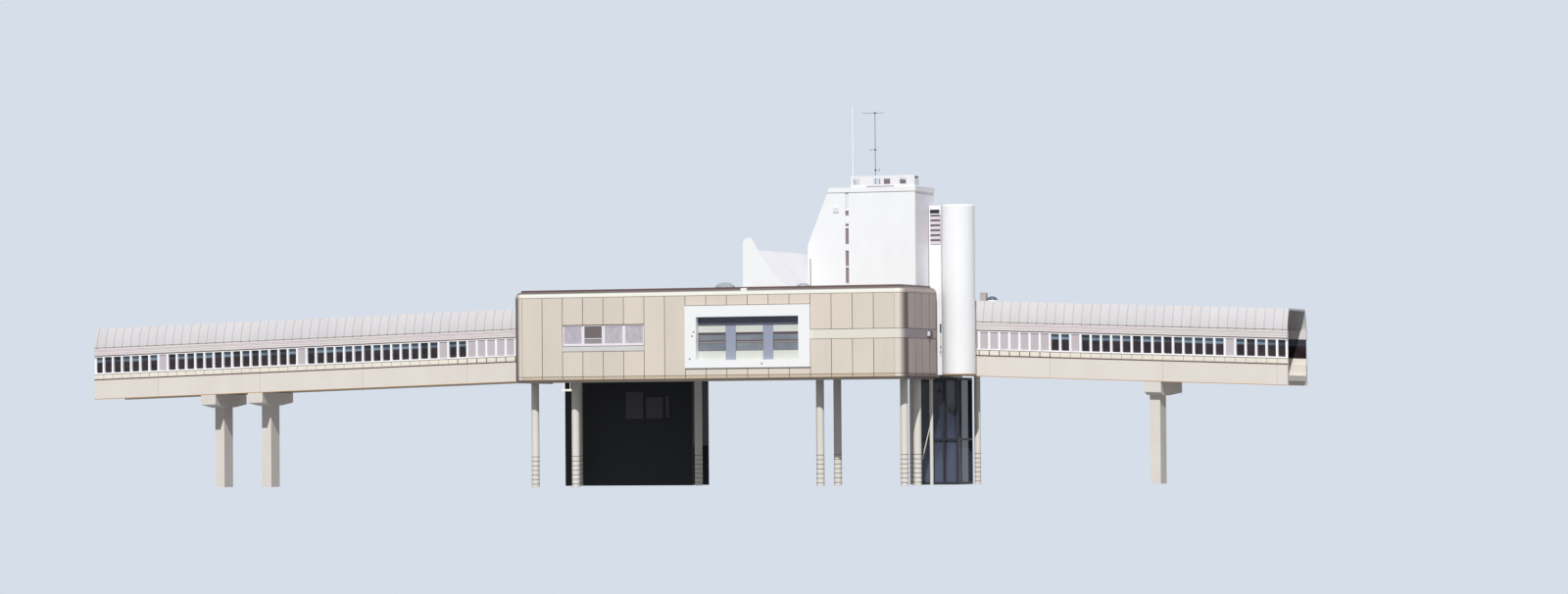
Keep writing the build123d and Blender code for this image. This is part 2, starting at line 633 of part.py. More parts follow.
def tower():
    """Walls, roof, coping and slot glazing of the technical tower."""
    ring = tower_profile() - tower_profile(TOWER_WALL)
    shell = front_view(ring, TOWER_Y + TOWER_WALL, TOWER_DEPTH - 2 * TOWER_WALL)
    shoulder_x = TOWER_X + SHOULDER_RUN
    above_floor = HALL_TOP + TOWER_WALL
    roof_bottom = TOWER_TOP - TOWER_WALL
    left = shell & block(TOWER_X, shoulder_x, TOWER_Y, TOWER_BACK, above_floor, TOWER_TOP)
    left = fused([left, block(TOWER_X, TOWER_X + TOWER_WALL, TOWER_Y + TOWER_WALL,
                              TOWER_BACK - TOWER_WALL, HALL_TOP, above_floor)])
    right = block(TOWER_RIGHT - TOWER_WALL, TOWER_RIGHT, TOWER_Y + TOWER_WALL,
                  TOWER_BACK - TOWER_WALL, HALL_TOP, roof_bottom)
    roof = block(shoulder_x, TOWER_RIGHT, TOWER_Y + TOWER_WALL, TOWER_BACK - TOWER_WALL,
                 roof_bottom, TOWER_TOP)
    slot_x = TOWER_X + SLOT_OFFSET
    slot = block(slot_x, slot_x + SLOT_WIDTH, TOWER_Y, TOWER_Y + TOWER_WALL,
                 HALL_TOP + SLOT_BOTTOM, HALL_TOP + SLOT_BOTTOM + SLOT_HEIGHT)
    vent_x = TOWER_X + TOWER_VENT_OFFSET
    vent_z = HALL_TOP + TOWER_VENT_LEVEL
    front = front_view(tower_profile(), TOWER_Y, TOWER_WALL) - slot
    back = front_view(tower_profile(), TOWER_BACK - TOWER_WALL, TOWER_WALL)
    return {
        "tower_front_wall": front,
        "tower_back_wall": back,
        "tower_left_wall": left,
        "tower_right_wall": right,
        "tower_roof": roof,
        "tower_coping": tower_coping(),
        "tower_slot_panes": slot_panes(),
        "tower_vent": block(vent_x, vent_x + TOWER_VENT_WIDTH, TOWER_Y - COPING_PROUD, TOWER_Y,
                            vent_z, vent_z + TOWER_VENT_HEIGHT),
    }


def tower_coping():
    """Capping strip proud of the front, right and back of the tower."""
    bottom = TOWER_TOP - COPING_HEIGHT
    slant = SHOULDER_RUN / (TOWER_HEIGHT - SHOULDER_HEIGHT)
    left = TOWER_X + SHOULDER_RUN
    outline = [
        (left - slant * COPING_HEIGHT, bottom),
        (TOWER_RIGHT, bottom),
        (TOWER_RIGHT, TOWER_TOP),
        (left, TOWER_TOP),
    ]
    strip = make_face(Polyline(outline, close=True))
    front = front_view(strip, TOWER_Y - COPING_PROUD, COPING_PROUD)
    back = front_view(strip, TOWER_BACK, COPING_PROUD)
    end = block(TOWER_RIGHT, TOWER_RIGHT + COPING_PROUD, TOWER_Y - COPING_PROUD,
                TOWER_BACK + COPING_PROUD, bottom, TOWER_TOP)
    return fused([front, end, back])


def slot_panes():
    """Recessed panes of the tower's tall slot, from the bottom up, between narrow spandrels."""
    gap = (SLOT_HEIGHT - sum(SLOT_PANE_HEIGHTS)) / (len(SLOT_PANE_HEIGHTS) - 1)
    level = HALL_TOP + SLOT_BOTTOM
    slot_x = TOWER_X + SLOT_OFFSET
    panes = []
    for height in SLOT_PANE_HEIGHTS:
        panes.append(block(slot_x, slot_x + SLOT_WIDTH, TOWER_Y + SLOT_RECESS,
                           TOWER_Y + SLOT_RECESS + GLASS, level, level + height))
        level += height + gap
    return together(panes)


def tower_top():
    """Screen, cooling units, flagpole and aerials on the tower roof."""
    x0 = TOWER_X + SCREEN_LEFT_INSET
    x1 = TOWER_RIGHT - SCREEN_EDGE_INSET
    y0 = TOWER_Y + SCREEN_EDGE_INSET
    y1 = TOWER_BACK - SCREEN_EDGE_INSET
    top = TOWER_TOP + SCREEN_HEIGHT
    screen = block(x0, x1, y0, y1, TOWER_TOP, top)
    screen -= block(x0 + SCREEN_SHEET, x1 - SCREEN_SHEET, y0 + SCREEN_SHEET, y1 - SCREEN_SHEET,
                    TOWER_TOP, top)
    opening_z = TOWER_TOP + (SCREEN_HEIGHT - SCREEN_OPENING_HEIGHT) / 2
    units = []
    for offset_x in SCREEN_OPENINGS:
        left = x0 + offset_x
        screen -= block(left, left + SCREEN_OPENING_WIDTH, y0, y0 + SCREEN_SHEET,
                        opening_z, opening_z + SCREEN_OPENING_HEIGHT)
    for offset_x in SCREEN_OPENINGS[1::2]:
        left = x0 + offset_x
        units.append(block(left, left + UNIT_WIDTH, y0 + UNIT_DEPTH, y0 + 2 * UNIT_DEPTH,
                           TOWER_TOP, TOWER_TOP + UNIT_HEIGHT))
    pole_x = x0 + POLE_OFFSET
    pole = rod(pole_x, y0 + POLE_OFFSET, TOWER_TOP, TOWER_TOP + POLE_HEIGHT, POLE_RADIUS)
    mast_x = x0 + MAST_INSET
    mast_y = TOWER_Y + TOWER_DEPTH / 4
    mast = rod(mast_x, mast_y, TOWER_TOP, TOWER_TOP + MAST_HEIGHT, MAST_RADIUS)
    return {
        "roof_screen": screen,
        "cooling_units": together(units),
        "roof_masts": together([pole, mast]),
        "aerials": aerials(mast_x, mast_y),
    }


def lying_rod(start, end, radius):
    """Six-sided bar between two points."""
    line = Line(start, end)
    return sweep(Plane(origin=start, z_dir=line % 0) * RegularPolygon(radius, 6), path=line)


def aerials(mast_x, mast_y):
    """Boom aerial with graded rods at the mast's head and two short ones below."""
    top = TOWER_TOP + MAST_HEIGHT - 2 * MAST_RADIUS
    start = mast_x - 0.6 * AERIAL_BOOM
    front = mast_y - MAST_RADIUS - AERIAL_ROD
    bars = [lying_rod((start, front, top), (start + AERIAL_BOOM, front, top), AERIAL_ROD)]
    for number in range(AERIAL_ELEMENTS):
        x = start + AERIAL_BOOM * (0.04 + 0.92 * number / (AERIAL_ELEMENTS - 1))
        half = AERIAL_SHORTEST + AERIAL_STEP * number
        bars.append(lying_rod((x, front - half, top), (x, front + half, top), AERIAL_ROD / 2))
    for share, reach in LOW_AERIALS:
        z = TOWER_TOP + share * MAST_HEIGHT
        tip = mast_x + reach
        bars.append(lying_rod((tip, front, z), (mast_x, front, z), AERIAL_ROD))
        bars.append(lying_rod((tip, front, z - AERIAL_TIP), (tip, front, z + AERIAL_TIP),
                              AERIAL_ROD))
    boom = fused(bars[:AERIAL_ELEMENTS + 1])
    lower = [fused(bars[first:first + 2]) for first in (AERIAL_ELEMENTS + 1, AERIAL_ELEMENTS + 3)]
    return together([boom, *lower])


def louvre_shaft():
    """Square air shaft with a louvre and an air slot near its head."""
    x0, x1 = FLAT_RIGHT, SHAFT_RIGHT
    y0, y1 = BLOCK_DEPTH + SHAFT_GAP, WALKWAY_Y - SHAFT_GAP
    bottom, top = SHAFT_BOTTOM, SHAFT_TOP
    shaft = block(x0, x1, y0, y1, bottom, top)
    shaft -= block(x0 + SHAFT_WALL, x1 - SHAFT_WALL, y0 + SHAFT_WALL, y1 - SHAFT_WALL,
                   bottom + SHAFT_WALL, top - SHAFT_WALL)
    left, right = x0 + LOUVRE_MARGIN, x1 - LOUVRE_MARGIN
    slot_top = top - AIR_SLOT_DROP
    slot_bottom = slot_top - AIR_SLOT_HEIGHT
    louvre_top = slot_bottom - AIR_SLOT_GAP
    louvre_bottom = louvre_top - LOUVRE_HEIGHT
    opening = block(left, right, y0, y0 + SHAFT_WALL, louvre_bottom, louvre_top)
    shaft = shaft - opening - block(left, right, y0, y0 + SHAFT_WALL, slot_bottom, slot_top)
    pitch = LOUVRE_HEIGHT / LOUVRE_BLADES
    blade = Rot(BLADE_TILT, 0, 0) * Box(right - left, BLADE_DEPTH, BLADE_THICKNESS)
    blades = [Pos((left + right) / 2, y0 + SHAFT_WALL / 2, louvre_bottom + (n + 0.5) * pitch) * blade
              for n in range(LOUVRE_BLADES)]
    return {
        "louvre_shaft": shaft,
        "louvre_blades": together([piece & opening for piece in blades]),
    }


def round_shaft():
    """Tall round shaft beside the louvre shaft, closed at both ends."""
    x, y = SHAFT_RIGHT + ROUND_RADIUS, BLOCK_DEPTH + ROUND_OFFSET
    top = SHAFT_TOP + ROUND_EXTRA
    z0, z1 = SHAFT_BOTTOM + ROUND_WALL, top - ROUND_WALL
    wall = rod(x, y, z0, z1, ROUND_RADIUS) - rod(x, y, z0, z1, ROUND_RADIUS - ROUND_WALL)
    ends = [rod(x, y, z, z + ROUND_WALL, ROUND_RADIUS) for z in (SHAFT_BOTTOM, z1)]
    return {"round_shaft_wall": wall, "round_shaft_ends": together(ends)}


def dome(x, y, base, radius, rise_height):
    """Shallow round dome on a low curb, with its curve in short straight steps."""
    steps = [math.radians(90 * number / DOME_STEPS) for number in range(DOME_STEPS + 1)]
    curve = [(radius * math.cos(turn), DOME_CURB + rise_height * math.sin(turn)) for turn in steps]
    outline = Polyline([(0, 0), (radius, 0), *curve[:-1], (0, DOME_CURB + rise_height)], close=True)
    return Pos(x, y, base) * revolve(Plane.XZ * make_face(outline), Axis.Z)


def roof_fittings():
    """Domes and a small vent on the hall roof, and a hatch with a dome on the right walkway."""
    domes = [dome(BIG_DOME_X, DOME_Y, HALL_TOP, BIG_DOME_RADIUS, BIG_DOME_RISE),
             dome(SMALL_DOME_X, DOME_Y, HALL_TOP, SMALL_DOME_RADIUS, SMALL_DOME_RISE)]
    vent = rod(ROOF_VENT_X, DOME_Y, HALL_TOP, HALL_TOP + ROOF_VENT_HEIGHT, ROOF_VENT_RADIUS)
    walkway = RIGHT_WALKWAY
    roof = ROOF_BASE + ROOF_RISE
    hatch_y = WALKWAY_Y + HATCH_SETBACK
    hatch_end = HATCH_X + HATCH_WIDTH
    hatch = walkway.side(HATCH_X, hatch_end, roof, roof + HATCH_HEIGHT, hatch_y, HATCH_WIDTH)
    dome_x = hatch_end + HATCH_GAP + HATCH_DOME_RADIUS
    dome_end = dome_x + HATCH_DOME_RADIUS
    small = dome(dome_x, hatch_y + HATCH_WIDTH / 2, WALKWAY_BOTTOM + roof - walkway.fall(dome_end),
                 HATCH_DOME_RADIUS, HATCH_DOME_RISE)
    domes.append(small - walkway.side(hatch_end, dome_end + HATCH_GAP, ROOF_BASE, roof,
                                      WALKWAY_Y, WALKWAY_WIDTH))
    return {
        "roof_domes": together(domes),
        "roof_vent": vent,
        "walkway_roof_hatch": hatch,
    }


def walkway_girder(walkway):
    """Trough girder: two deep edge beams joined by the deck slab."""
    x0, x1 = walkway.span(0, walkway.length)
    edges = [walkway.side(x0, x1, 0, GIRDER_HEIGHT, y, GIRDER_WALL)
             for y in (WALKWAY_Y, WALKWAY_BACK - GIRDER_WALL)]
    deck = walkway.side(x0, x1, DECK_LEVEL - DECK_THICKNESS, DECK_LEVEL,
                        WALKWAY_Y + GIRDER_WALL, WALKWAY_WIDTH - 2 * GIRDER_WALL)
    return fused([edges[0], deck, edges[1]])


def walkway_sides(walkway):
    """Sills, window frames, glass, opaque panes and fascias of one walkway, both sides."""
    x0, x1 = walkway.span(0, walkway.length)
    sills, frames, glass, panels, fascias = [], [], [], [], []
    for outward, face_y in ((-1, WALKWAY_Y), (1, WALKWAY_BACK)):
        def strip(low, high, setback, thickness, start=x0, end=x1):
            near = face_y - outward * setback
            far = near - outward * thickness
            return walkway.side(start, end, low, high, min(near, far), thickness)

        sills.append(strip(SILL_BASE, PANE_BASE, SILL_SETBACK, SILL_THICKNESS))
        frames.append(frame_of_panes(walkway, strip))
        glass.append(strip(PANE_BASE, FASCIA_BASE, WINDOW_SETBACK + WINDOW_DEPTH, GLASS))
        for first, count in ((0, OPAQUE_PANES),
                             *((number, 1) for number in SINGLE_OPAQUE_PANE_NUMBERS)):
            if first >= walkway.panes:
                continue
            for pane in range(first, first + count):
                start, end = walkway.span(pane * walkway.pane_width + MULLION / 2,
                                          (pane + 1) * walkway.pane_width - MULLION / 2)
                if pane == 0:
                    start, end = walkway.span(MULLION, walkway.pane_width - MULLION / 2)
                panels.append(strip(PANE_BASE + WINDOW_RAIL, FASCIA_BASE - WINDOW_RAIL,
                                    WINDOW_SETBACK + WINDOW_DEPTH - INFILL_THICKNESS,
                                    INFILL_THICKNESS, start, end))
        board = strip(FASCIA_BASE, ROOF_BASE - GUTTER_HEIGHT, 0, FASCIA_THICKNESS)
        gutter = strip(ROOF_BASE - GUTTER_HEIGHT, ROOF_BASE, -FASCIA_PROUD,
                       FASCIA_THICKNESS + FASCIA_PROUD)
        fascias.append(fused([board, gutter]))
    return sills, frames, glass, panels, fascias


def frame_of_panes(walkway, strip):
    """Long flat frame with an upright between every two panes."""
    frame = strip(PANE_BASE, FASCIA_BASE, WINDOW_SETBACK, WINDOW_DEPTH)
    holes = []
    for pane in range(walkway.panes):
        near = MULLION if pane == 0 else pane * walkway.pane_width + MULLION / 2
        last = pane == walkway.panes - 1
        far = (pane + 1) * walkway.pane_width - (MULLION if last else MULLION / 2)
        start, end = walkway.span(near, far)
        holes.append(strip(PANE_BASE + WINDOW_RAIL, FASCIA_BASE - WINDOW_RAIL, WINDOW_SETBACK,
                           WINDOW_DEPTH, start, end))
    return frame.cut(*holes)


def walkway_roof(walkway):
    """Steep, slightly bowed roof sides with a flat top, as one folded shell."""
    base = WALKWAY_BOTTOM + ROOF_BASE
    top = base + ROOF_RISE
    y0, y1 = WALKWAY_Y, WALKWAY_BACK
    middle = base + ROOF_RISE / 2

    def section(inset):
        lean = ROOF_LEAN / 2 - ROOF_BULGE
        near = ThreePointArc((y0 + inset, base), (y0 + lean + inset, middle),
                             (y0 + ROOF_LEAN + inset, top - inset))
        far = ThreePointArc((y1 - ROOF_LEAN - inset, top - inset), (y1 - lean - inset, middle),
                            (y1 - inset, base))
        return make_face([near, Line(near @ 1, far @ 0), far, Line(far @ 1, near @ 0)])

    hat = section(0.0) - section(ROOF_SHELL)
    plane = Plane((walkway.wall_x, 0, 0), x_dir=(0, 1, 0), z_dir=(1, 0, 0))
    along = Vector(walkway.direction, 0, -walkway.slope)
    return extrude(plane * hat, amount=walkway.length * along.length, dir=along)


def pier(walkway, offset_x):
    """Hammerhead pier whose head follows the girder's underside."""
    x = walkway.wall_x + walkway.direction * offset_x
    top = -PIER_HEAD_TIP
    middle = (WALKWAY_Y + WALKWAY_BACK) / 2 - walkway.pier_forward
    half = PIER_COLUMN_DEPTH / 2
    outline = [
        (WALKWAY_Y, 0), (WALKWAY_Y, top), (middle - half, top - PIER_HEAD_TAPER),
        (middle + half, top - PIER_HEAD_TAPER), (WALKWAY_BACK, top), (WALKWAY_BACK, 0),
    ]
    start = x - PIER_HEAD_WIDTH / 2
    level = WALKWAY_BOTTOM - walkway.fall(start)
    plane = Plane((start, 0, level), x_dir=(0, 1, 0), z_dir=(1, 0, 0))
    along = Vector(1, 0, -walkway.direction * walkway.slope)
    head = extrude(plane * make_face(Polyline(outline, close=True)),
                   amount=PIER_HEAD_WIDTH * along.length, dir=along)
    column = block(x - PIER_COLUMN_WIDTH / 2, x + PIER_COLUMN_WIDTH / 2, middle - half,
                   middle + half, 0, WALKWAY_BOTTOM - walkway.fall(x) - PIER_HEAD_TIP)
    return fused([head, column])


def lobby():
    """Glazed lobby under the hall's right end, with a doorway at its back."""
    x0, x1 = LOBBY_X, LOBBY_X + LOBBY_WIDTH
    y0, y1 = WALKWAY_Y, WALKWAY_Y + LOBBY_DEPTH
    post, rail, top = LOBBY_POST, LOBBY_RAIL, HALL_BOTTOM
    door_x = (x0 + x1 - LOBBY_DOOR_WIDTH) / 2
    door_end = door_x + LOBBY_DOOR_WIDTH
    pitch = (LOBBY_WIDTH - post) / LOBBY_PANELS
    frame = block(x0, x1, y0, y1, 0, top)
    frame -= block(x0 + post, x1 - post, y0 + post, y1 - post, 0, top - rail)
    transom = LOBBY_TRANSOM_LEVEL
    lights = [block(x0 + post, x1 - post, y1 - post, y1, transom + post, top - rail),
              block(x0 + post, door_x - post, y1 - post, y1, rail, transom),
              block(door_end + post, x1 - post, y1 - post, y1, rail, transom),
              block(door_x, door_end, y1 - post, y1, 0, LOBBY_DOOR_HEIGHT)]
    for low, high in ((rail, transom), (transom + post, top - rail)):
        for number in range(LOBBY_PANELS):
            left = x0 + post + number * pitch
            lights.append(block(left, left + pitch - post, y0, y0 + post, low, high))
        for x in (x0, x1 - post):
            lights.append(block(x, x + post, y0 + post, y1 - post, low, high))
    frame = frame.cut(*lights)
    inner = post + GLASS
    glass = block(x0 + post, x1 - post, y0 + post, y1 - post, rail, top - rail)
    glass -= block(x0 + inner, x1 - inner, y0 + inner, y1 - inner, rail, top - rail)
    glass -= block(door_x, door_end, y1 - inner, y1 - post, 0, LOBBY_DOOR_HEIGHT)
    return {"lobby_frame": frame, "lobby_glass": glass}


def stair_enclosure():
    """Plain closed-in stair under the left half of the hall, with two windows and a doorway."""
    x0, x1 = STAIR_X, STAIR_X + STAIR_WIDTH
    y0, y1 = WALKWAY_BACK - STAIR_DEPTH, WALKWAY_BACK
    shell = block(x0, x1, y0, y1, 0, HALL_BOTTOM)
    shell -= block(x0 + STAIR_WALL, x1 - STAIR_WALL, y0 + STAIR_WALL, y1 - STAIR_WALL,
                   0, HALL_BOTTOM - STAIR_WALL)
    panes = []
    for offset_x in STAIR_WINDOW_OFFSETS:
        left = x0 + offset_x
        window = (STAIR_WINDOW_BOTTOM, STAIR_WINDOW_BOTTOM + STAIR_WINDOW_HEIGHT)
        shell -= block(left, left + STAIR_WINDOW_WIDTH, y0, y0 + STAIR_WALL, *window)
        panes.append(block(left, left + STAIR_WINDOW_WIDTH, y0 + STAIR_WALL - GLASS,
                           y0 + STAIR_WALL, *window))
    shell -= block(x1 - STAIR_WALL, x1, y0 + STAIR_WALL, y1 - STAIR_WALL, 0, STAIR_DOOR_HEIGHT)
    return {"stair_enclosure": shell, "stair_window_glass": together(panes)}


def soffit_lamp():
    """Long lamp hung on two rods from the front beam."""
    y = COLUMN_ROWS[0] + LAMP_SETBACK
    top = HALL_BOTTOM - LAMP_DROP
    half = LAMP_SECTION / 2
    body = block(LAMP_X, LAMP_X + LAMP_LENGTH, y - half, y + half, top - LAMP_SECTION, top)
    rods = [rod(LAMP_X + share * LAMP_LENGTH, y, top, HALL_BOTTOM, LAMP_ROD) for share in (0.2, 0.8)]
    return fused([body, *rods])


def make_pieces():
    """All pieces by name, in the drawing's own place."""
    front, rear = hall_rings()
    pieces = {
        **hall_walls(front, rear),
        "hall_corner_panels": hall_corners(front, rear),
        "hall_roof": hall_roof(),
        "hall_floor": hall_floor(),
        "long_beams": long_beams(),
        "cross_beams": cross_beams(),
        "hall_columns": hall_columns(),
        "side_band": side_band(),
        "roof_edge_trim": roof_edge_trim(),
        **ribbon_windows(),
        **big_window(),
        **sail(),
        **tower(),
        **tower_top(),
        **louvre_shaft(),
        **round_shaft(),
        **roof_fittings(),
        **lobby(),
        **stair_enclosure(),
        "soffit_lamp": soffit_lamp(),
    }
    sides = [walkway_sides(walkway) for walkway in WALKWAYS]
    names = ("walkway_sills", "walkway_window_frames", "walkway_glass",
             "walkway_opaque_panes", "walkway_fascias")
    for name, parts in zip(names, zip(*sides)):
        pieces[name] = together([piece for part in parts for piece in part])
    for walkway in WALKWAYS:
        pieces[f"{walkway.name}_walkway_girder"] = walkway_girder(walkway)
        pieces[f"{walkway.name}_walkway_roof"] = walkway_roof(walkway)
    pieces["walkway_piers"] = together([pier(walkway, offset_x) for walkway in WALKWAYS
                                        for offset_x in walkway.pier_offsets])
    return pieces


def main():
    """Write one STEP file for each piece."""
    os.makedirs("parts", exist_ok=True)
    home = Pos(-ORIGIN_X, -ORIGIN_Y, 0)
    for name, piece in make_pieces().items():
        export_step(home * piece, f"parts/{name}.step")


main()
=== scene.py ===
"""Looks of the elevated railway station building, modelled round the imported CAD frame.

All sizes are metres of the 1:2 model. The drawing has X along the front from the hall's first panel
joint, Y towards the back from the hall's front face, and Z up from the ground. at() turns a place of
the drawing into the row frame.
"""

from __future__ import annotations

import json
import logging
import math
from collections.abc import Callable
from dataclasses import dataclass, field
from enum import Enum

import bpy
from mathutils import Matrix, Vector

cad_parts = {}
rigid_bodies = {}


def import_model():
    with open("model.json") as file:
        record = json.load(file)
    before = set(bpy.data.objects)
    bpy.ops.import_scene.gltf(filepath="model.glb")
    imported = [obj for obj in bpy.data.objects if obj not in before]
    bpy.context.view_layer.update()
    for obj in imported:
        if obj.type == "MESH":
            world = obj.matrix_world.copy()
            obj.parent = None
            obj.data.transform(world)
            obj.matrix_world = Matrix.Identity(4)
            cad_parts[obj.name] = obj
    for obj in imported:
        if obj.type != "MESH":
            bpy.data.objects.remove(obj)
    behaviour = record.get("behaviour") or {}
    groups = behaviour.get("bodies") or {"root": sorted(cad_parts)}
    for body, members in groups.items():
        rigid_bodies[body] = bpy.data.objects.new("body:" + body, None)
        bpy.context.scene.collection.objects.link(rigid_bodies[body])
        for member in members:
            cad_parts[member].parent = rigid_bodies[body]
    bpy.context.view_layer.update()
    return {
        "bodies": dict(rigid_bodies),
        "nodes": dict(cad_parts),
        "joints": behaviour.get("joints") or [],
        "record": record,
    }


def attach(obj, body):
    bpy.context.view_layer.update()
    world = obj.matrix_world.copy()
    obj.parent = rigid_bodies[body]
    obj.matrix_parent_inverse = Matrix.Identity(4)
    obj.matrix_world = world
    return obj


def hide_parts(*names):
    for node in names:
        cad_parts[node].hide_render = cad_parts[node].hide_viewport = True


LOG = logging.getLogger("station")

Colour = tuple[float, float, float]
Triple = tuple[float, float, float]
Span = tuple[float, float]
Box = tuple[Triple, Triple]
Piece = bpy.types.Object
Socket = bpy.types.NodeSocket
FaceTest = Callable[[Vector, Vector], bool]
PointTest = Callable[[Vector], bool]

# Middle of the footprint in the drawing, which is the origin of the row frame
ORIGIN_X = 2.8965
ORIGIN_Y = 2.981
ORIGIN = Vector((ORIGIN_X, ORIGIN_Y, 0.0))

# Sizes of the hall and the tower that several pieces share
PANEL = 0.625
FRONT_PANELS = 18
END_PANELS = 4
HALL_RIGHT = PANEL * FRONT_PANELS
HALL_BACK = 6.0
BLOCK_DEPTH = 2.95
CORNER = 0.29
END_FACE = HALL_RIGHT + CORNER
END_PANEL = (BLOCK_DEPTH - 2 * CORNER) / END_PANELS
UNDERSIDE = 3.03
ROOF_LEVEL = 5.55
TOWER_ROOF = 8.395
RIBBON_START = 1.25

# Sizes of the walkways: levels over the girder's underside, fall for each metre, width of a bay
GIRDER_BASE = 3.1
SILL_TOP = 0.585
PANE_FOOT = 0.755
PANE_HEAD = 1.295
ROOF_FOOT = 1.545
LEFT_FALL = 0.028
RIGHT_FALL = 0.0385
LEFT_BAY = 0.307
RIGHT_BAY = 0.3

# Widths of the broken edges
HAIR_EDGE = 0.001
FINE_EDGE = 0.002
SLIM_EDGE = 0.003
ROUND_EDGE = 0.004
SOFT_EDGE = 0.006

# Directions of faces, and the cosine over which a face counts as pointing that way
UP = (0.0, 0.0, 1.0)
DOWN = (0.0, 0.0, -1.0)
RIGHT = (1.0, 0.0, 0.0)
FORWARD = (0.0, -1.0, 0.0)
ALIGNED = 0.9

# Degrees under which an edge stays unbroken, and reach in which points merge or count as near
EDGE_ANGLE = 40.0
MERGE_REACH = 0.0001
NEAR = 0.01


def at(x: float, y: float, z: float) -> Vector:
    """Point of the drawing in the row frame."""
    return Vector((x - ORIGIN_X, y - ORIGIN_Y, z))


def linear(colour: Colour) -> tuple[float, float, float, float]:
    """Scene colour of a display colour given from 0 to 255.

    Args:
        colour: red, green and blue as a screen shows them.

    Returns:
        Linear red, green, blue and an alpha of 1.
    """
    values = []
    for value in colour:
        share = value / 255
        values.append(share / 12.92 if share <= 0.04045 else ((share + 0.055) / 1.055) ** 2.4)
    return values[0], values[1], values[2], 1.0


class Slot(Enum):
    """Material slots of the record."""

    CREAM = "cream_cladding"
    WHITE = "white_cladding"
    ROOF_EDGE = "roof_edge_white"
    DARK_TRIM = "dark_trim"
    GREY_FRAME = "grey_frame"
    WHITE_FRAME = "white_frame"
    ROOF_SHEET = "roof_sheet"
    GALVANISED = "galvanised"
    BOARD = "pale_board"
    SHEET = "pale_sheet"
    GLASS = "dark_glass"
    CONCRETE = "concrete"


class Side(Enum):
    """The two long sides of the building, each with the sign of its outward way."""

    FRONT = -1
    BACK = 1

    @property
    def outward(self) -> Triple:
        """Direction in which the faces of this side point."""
        return 0.0, float(self.value), 0.0


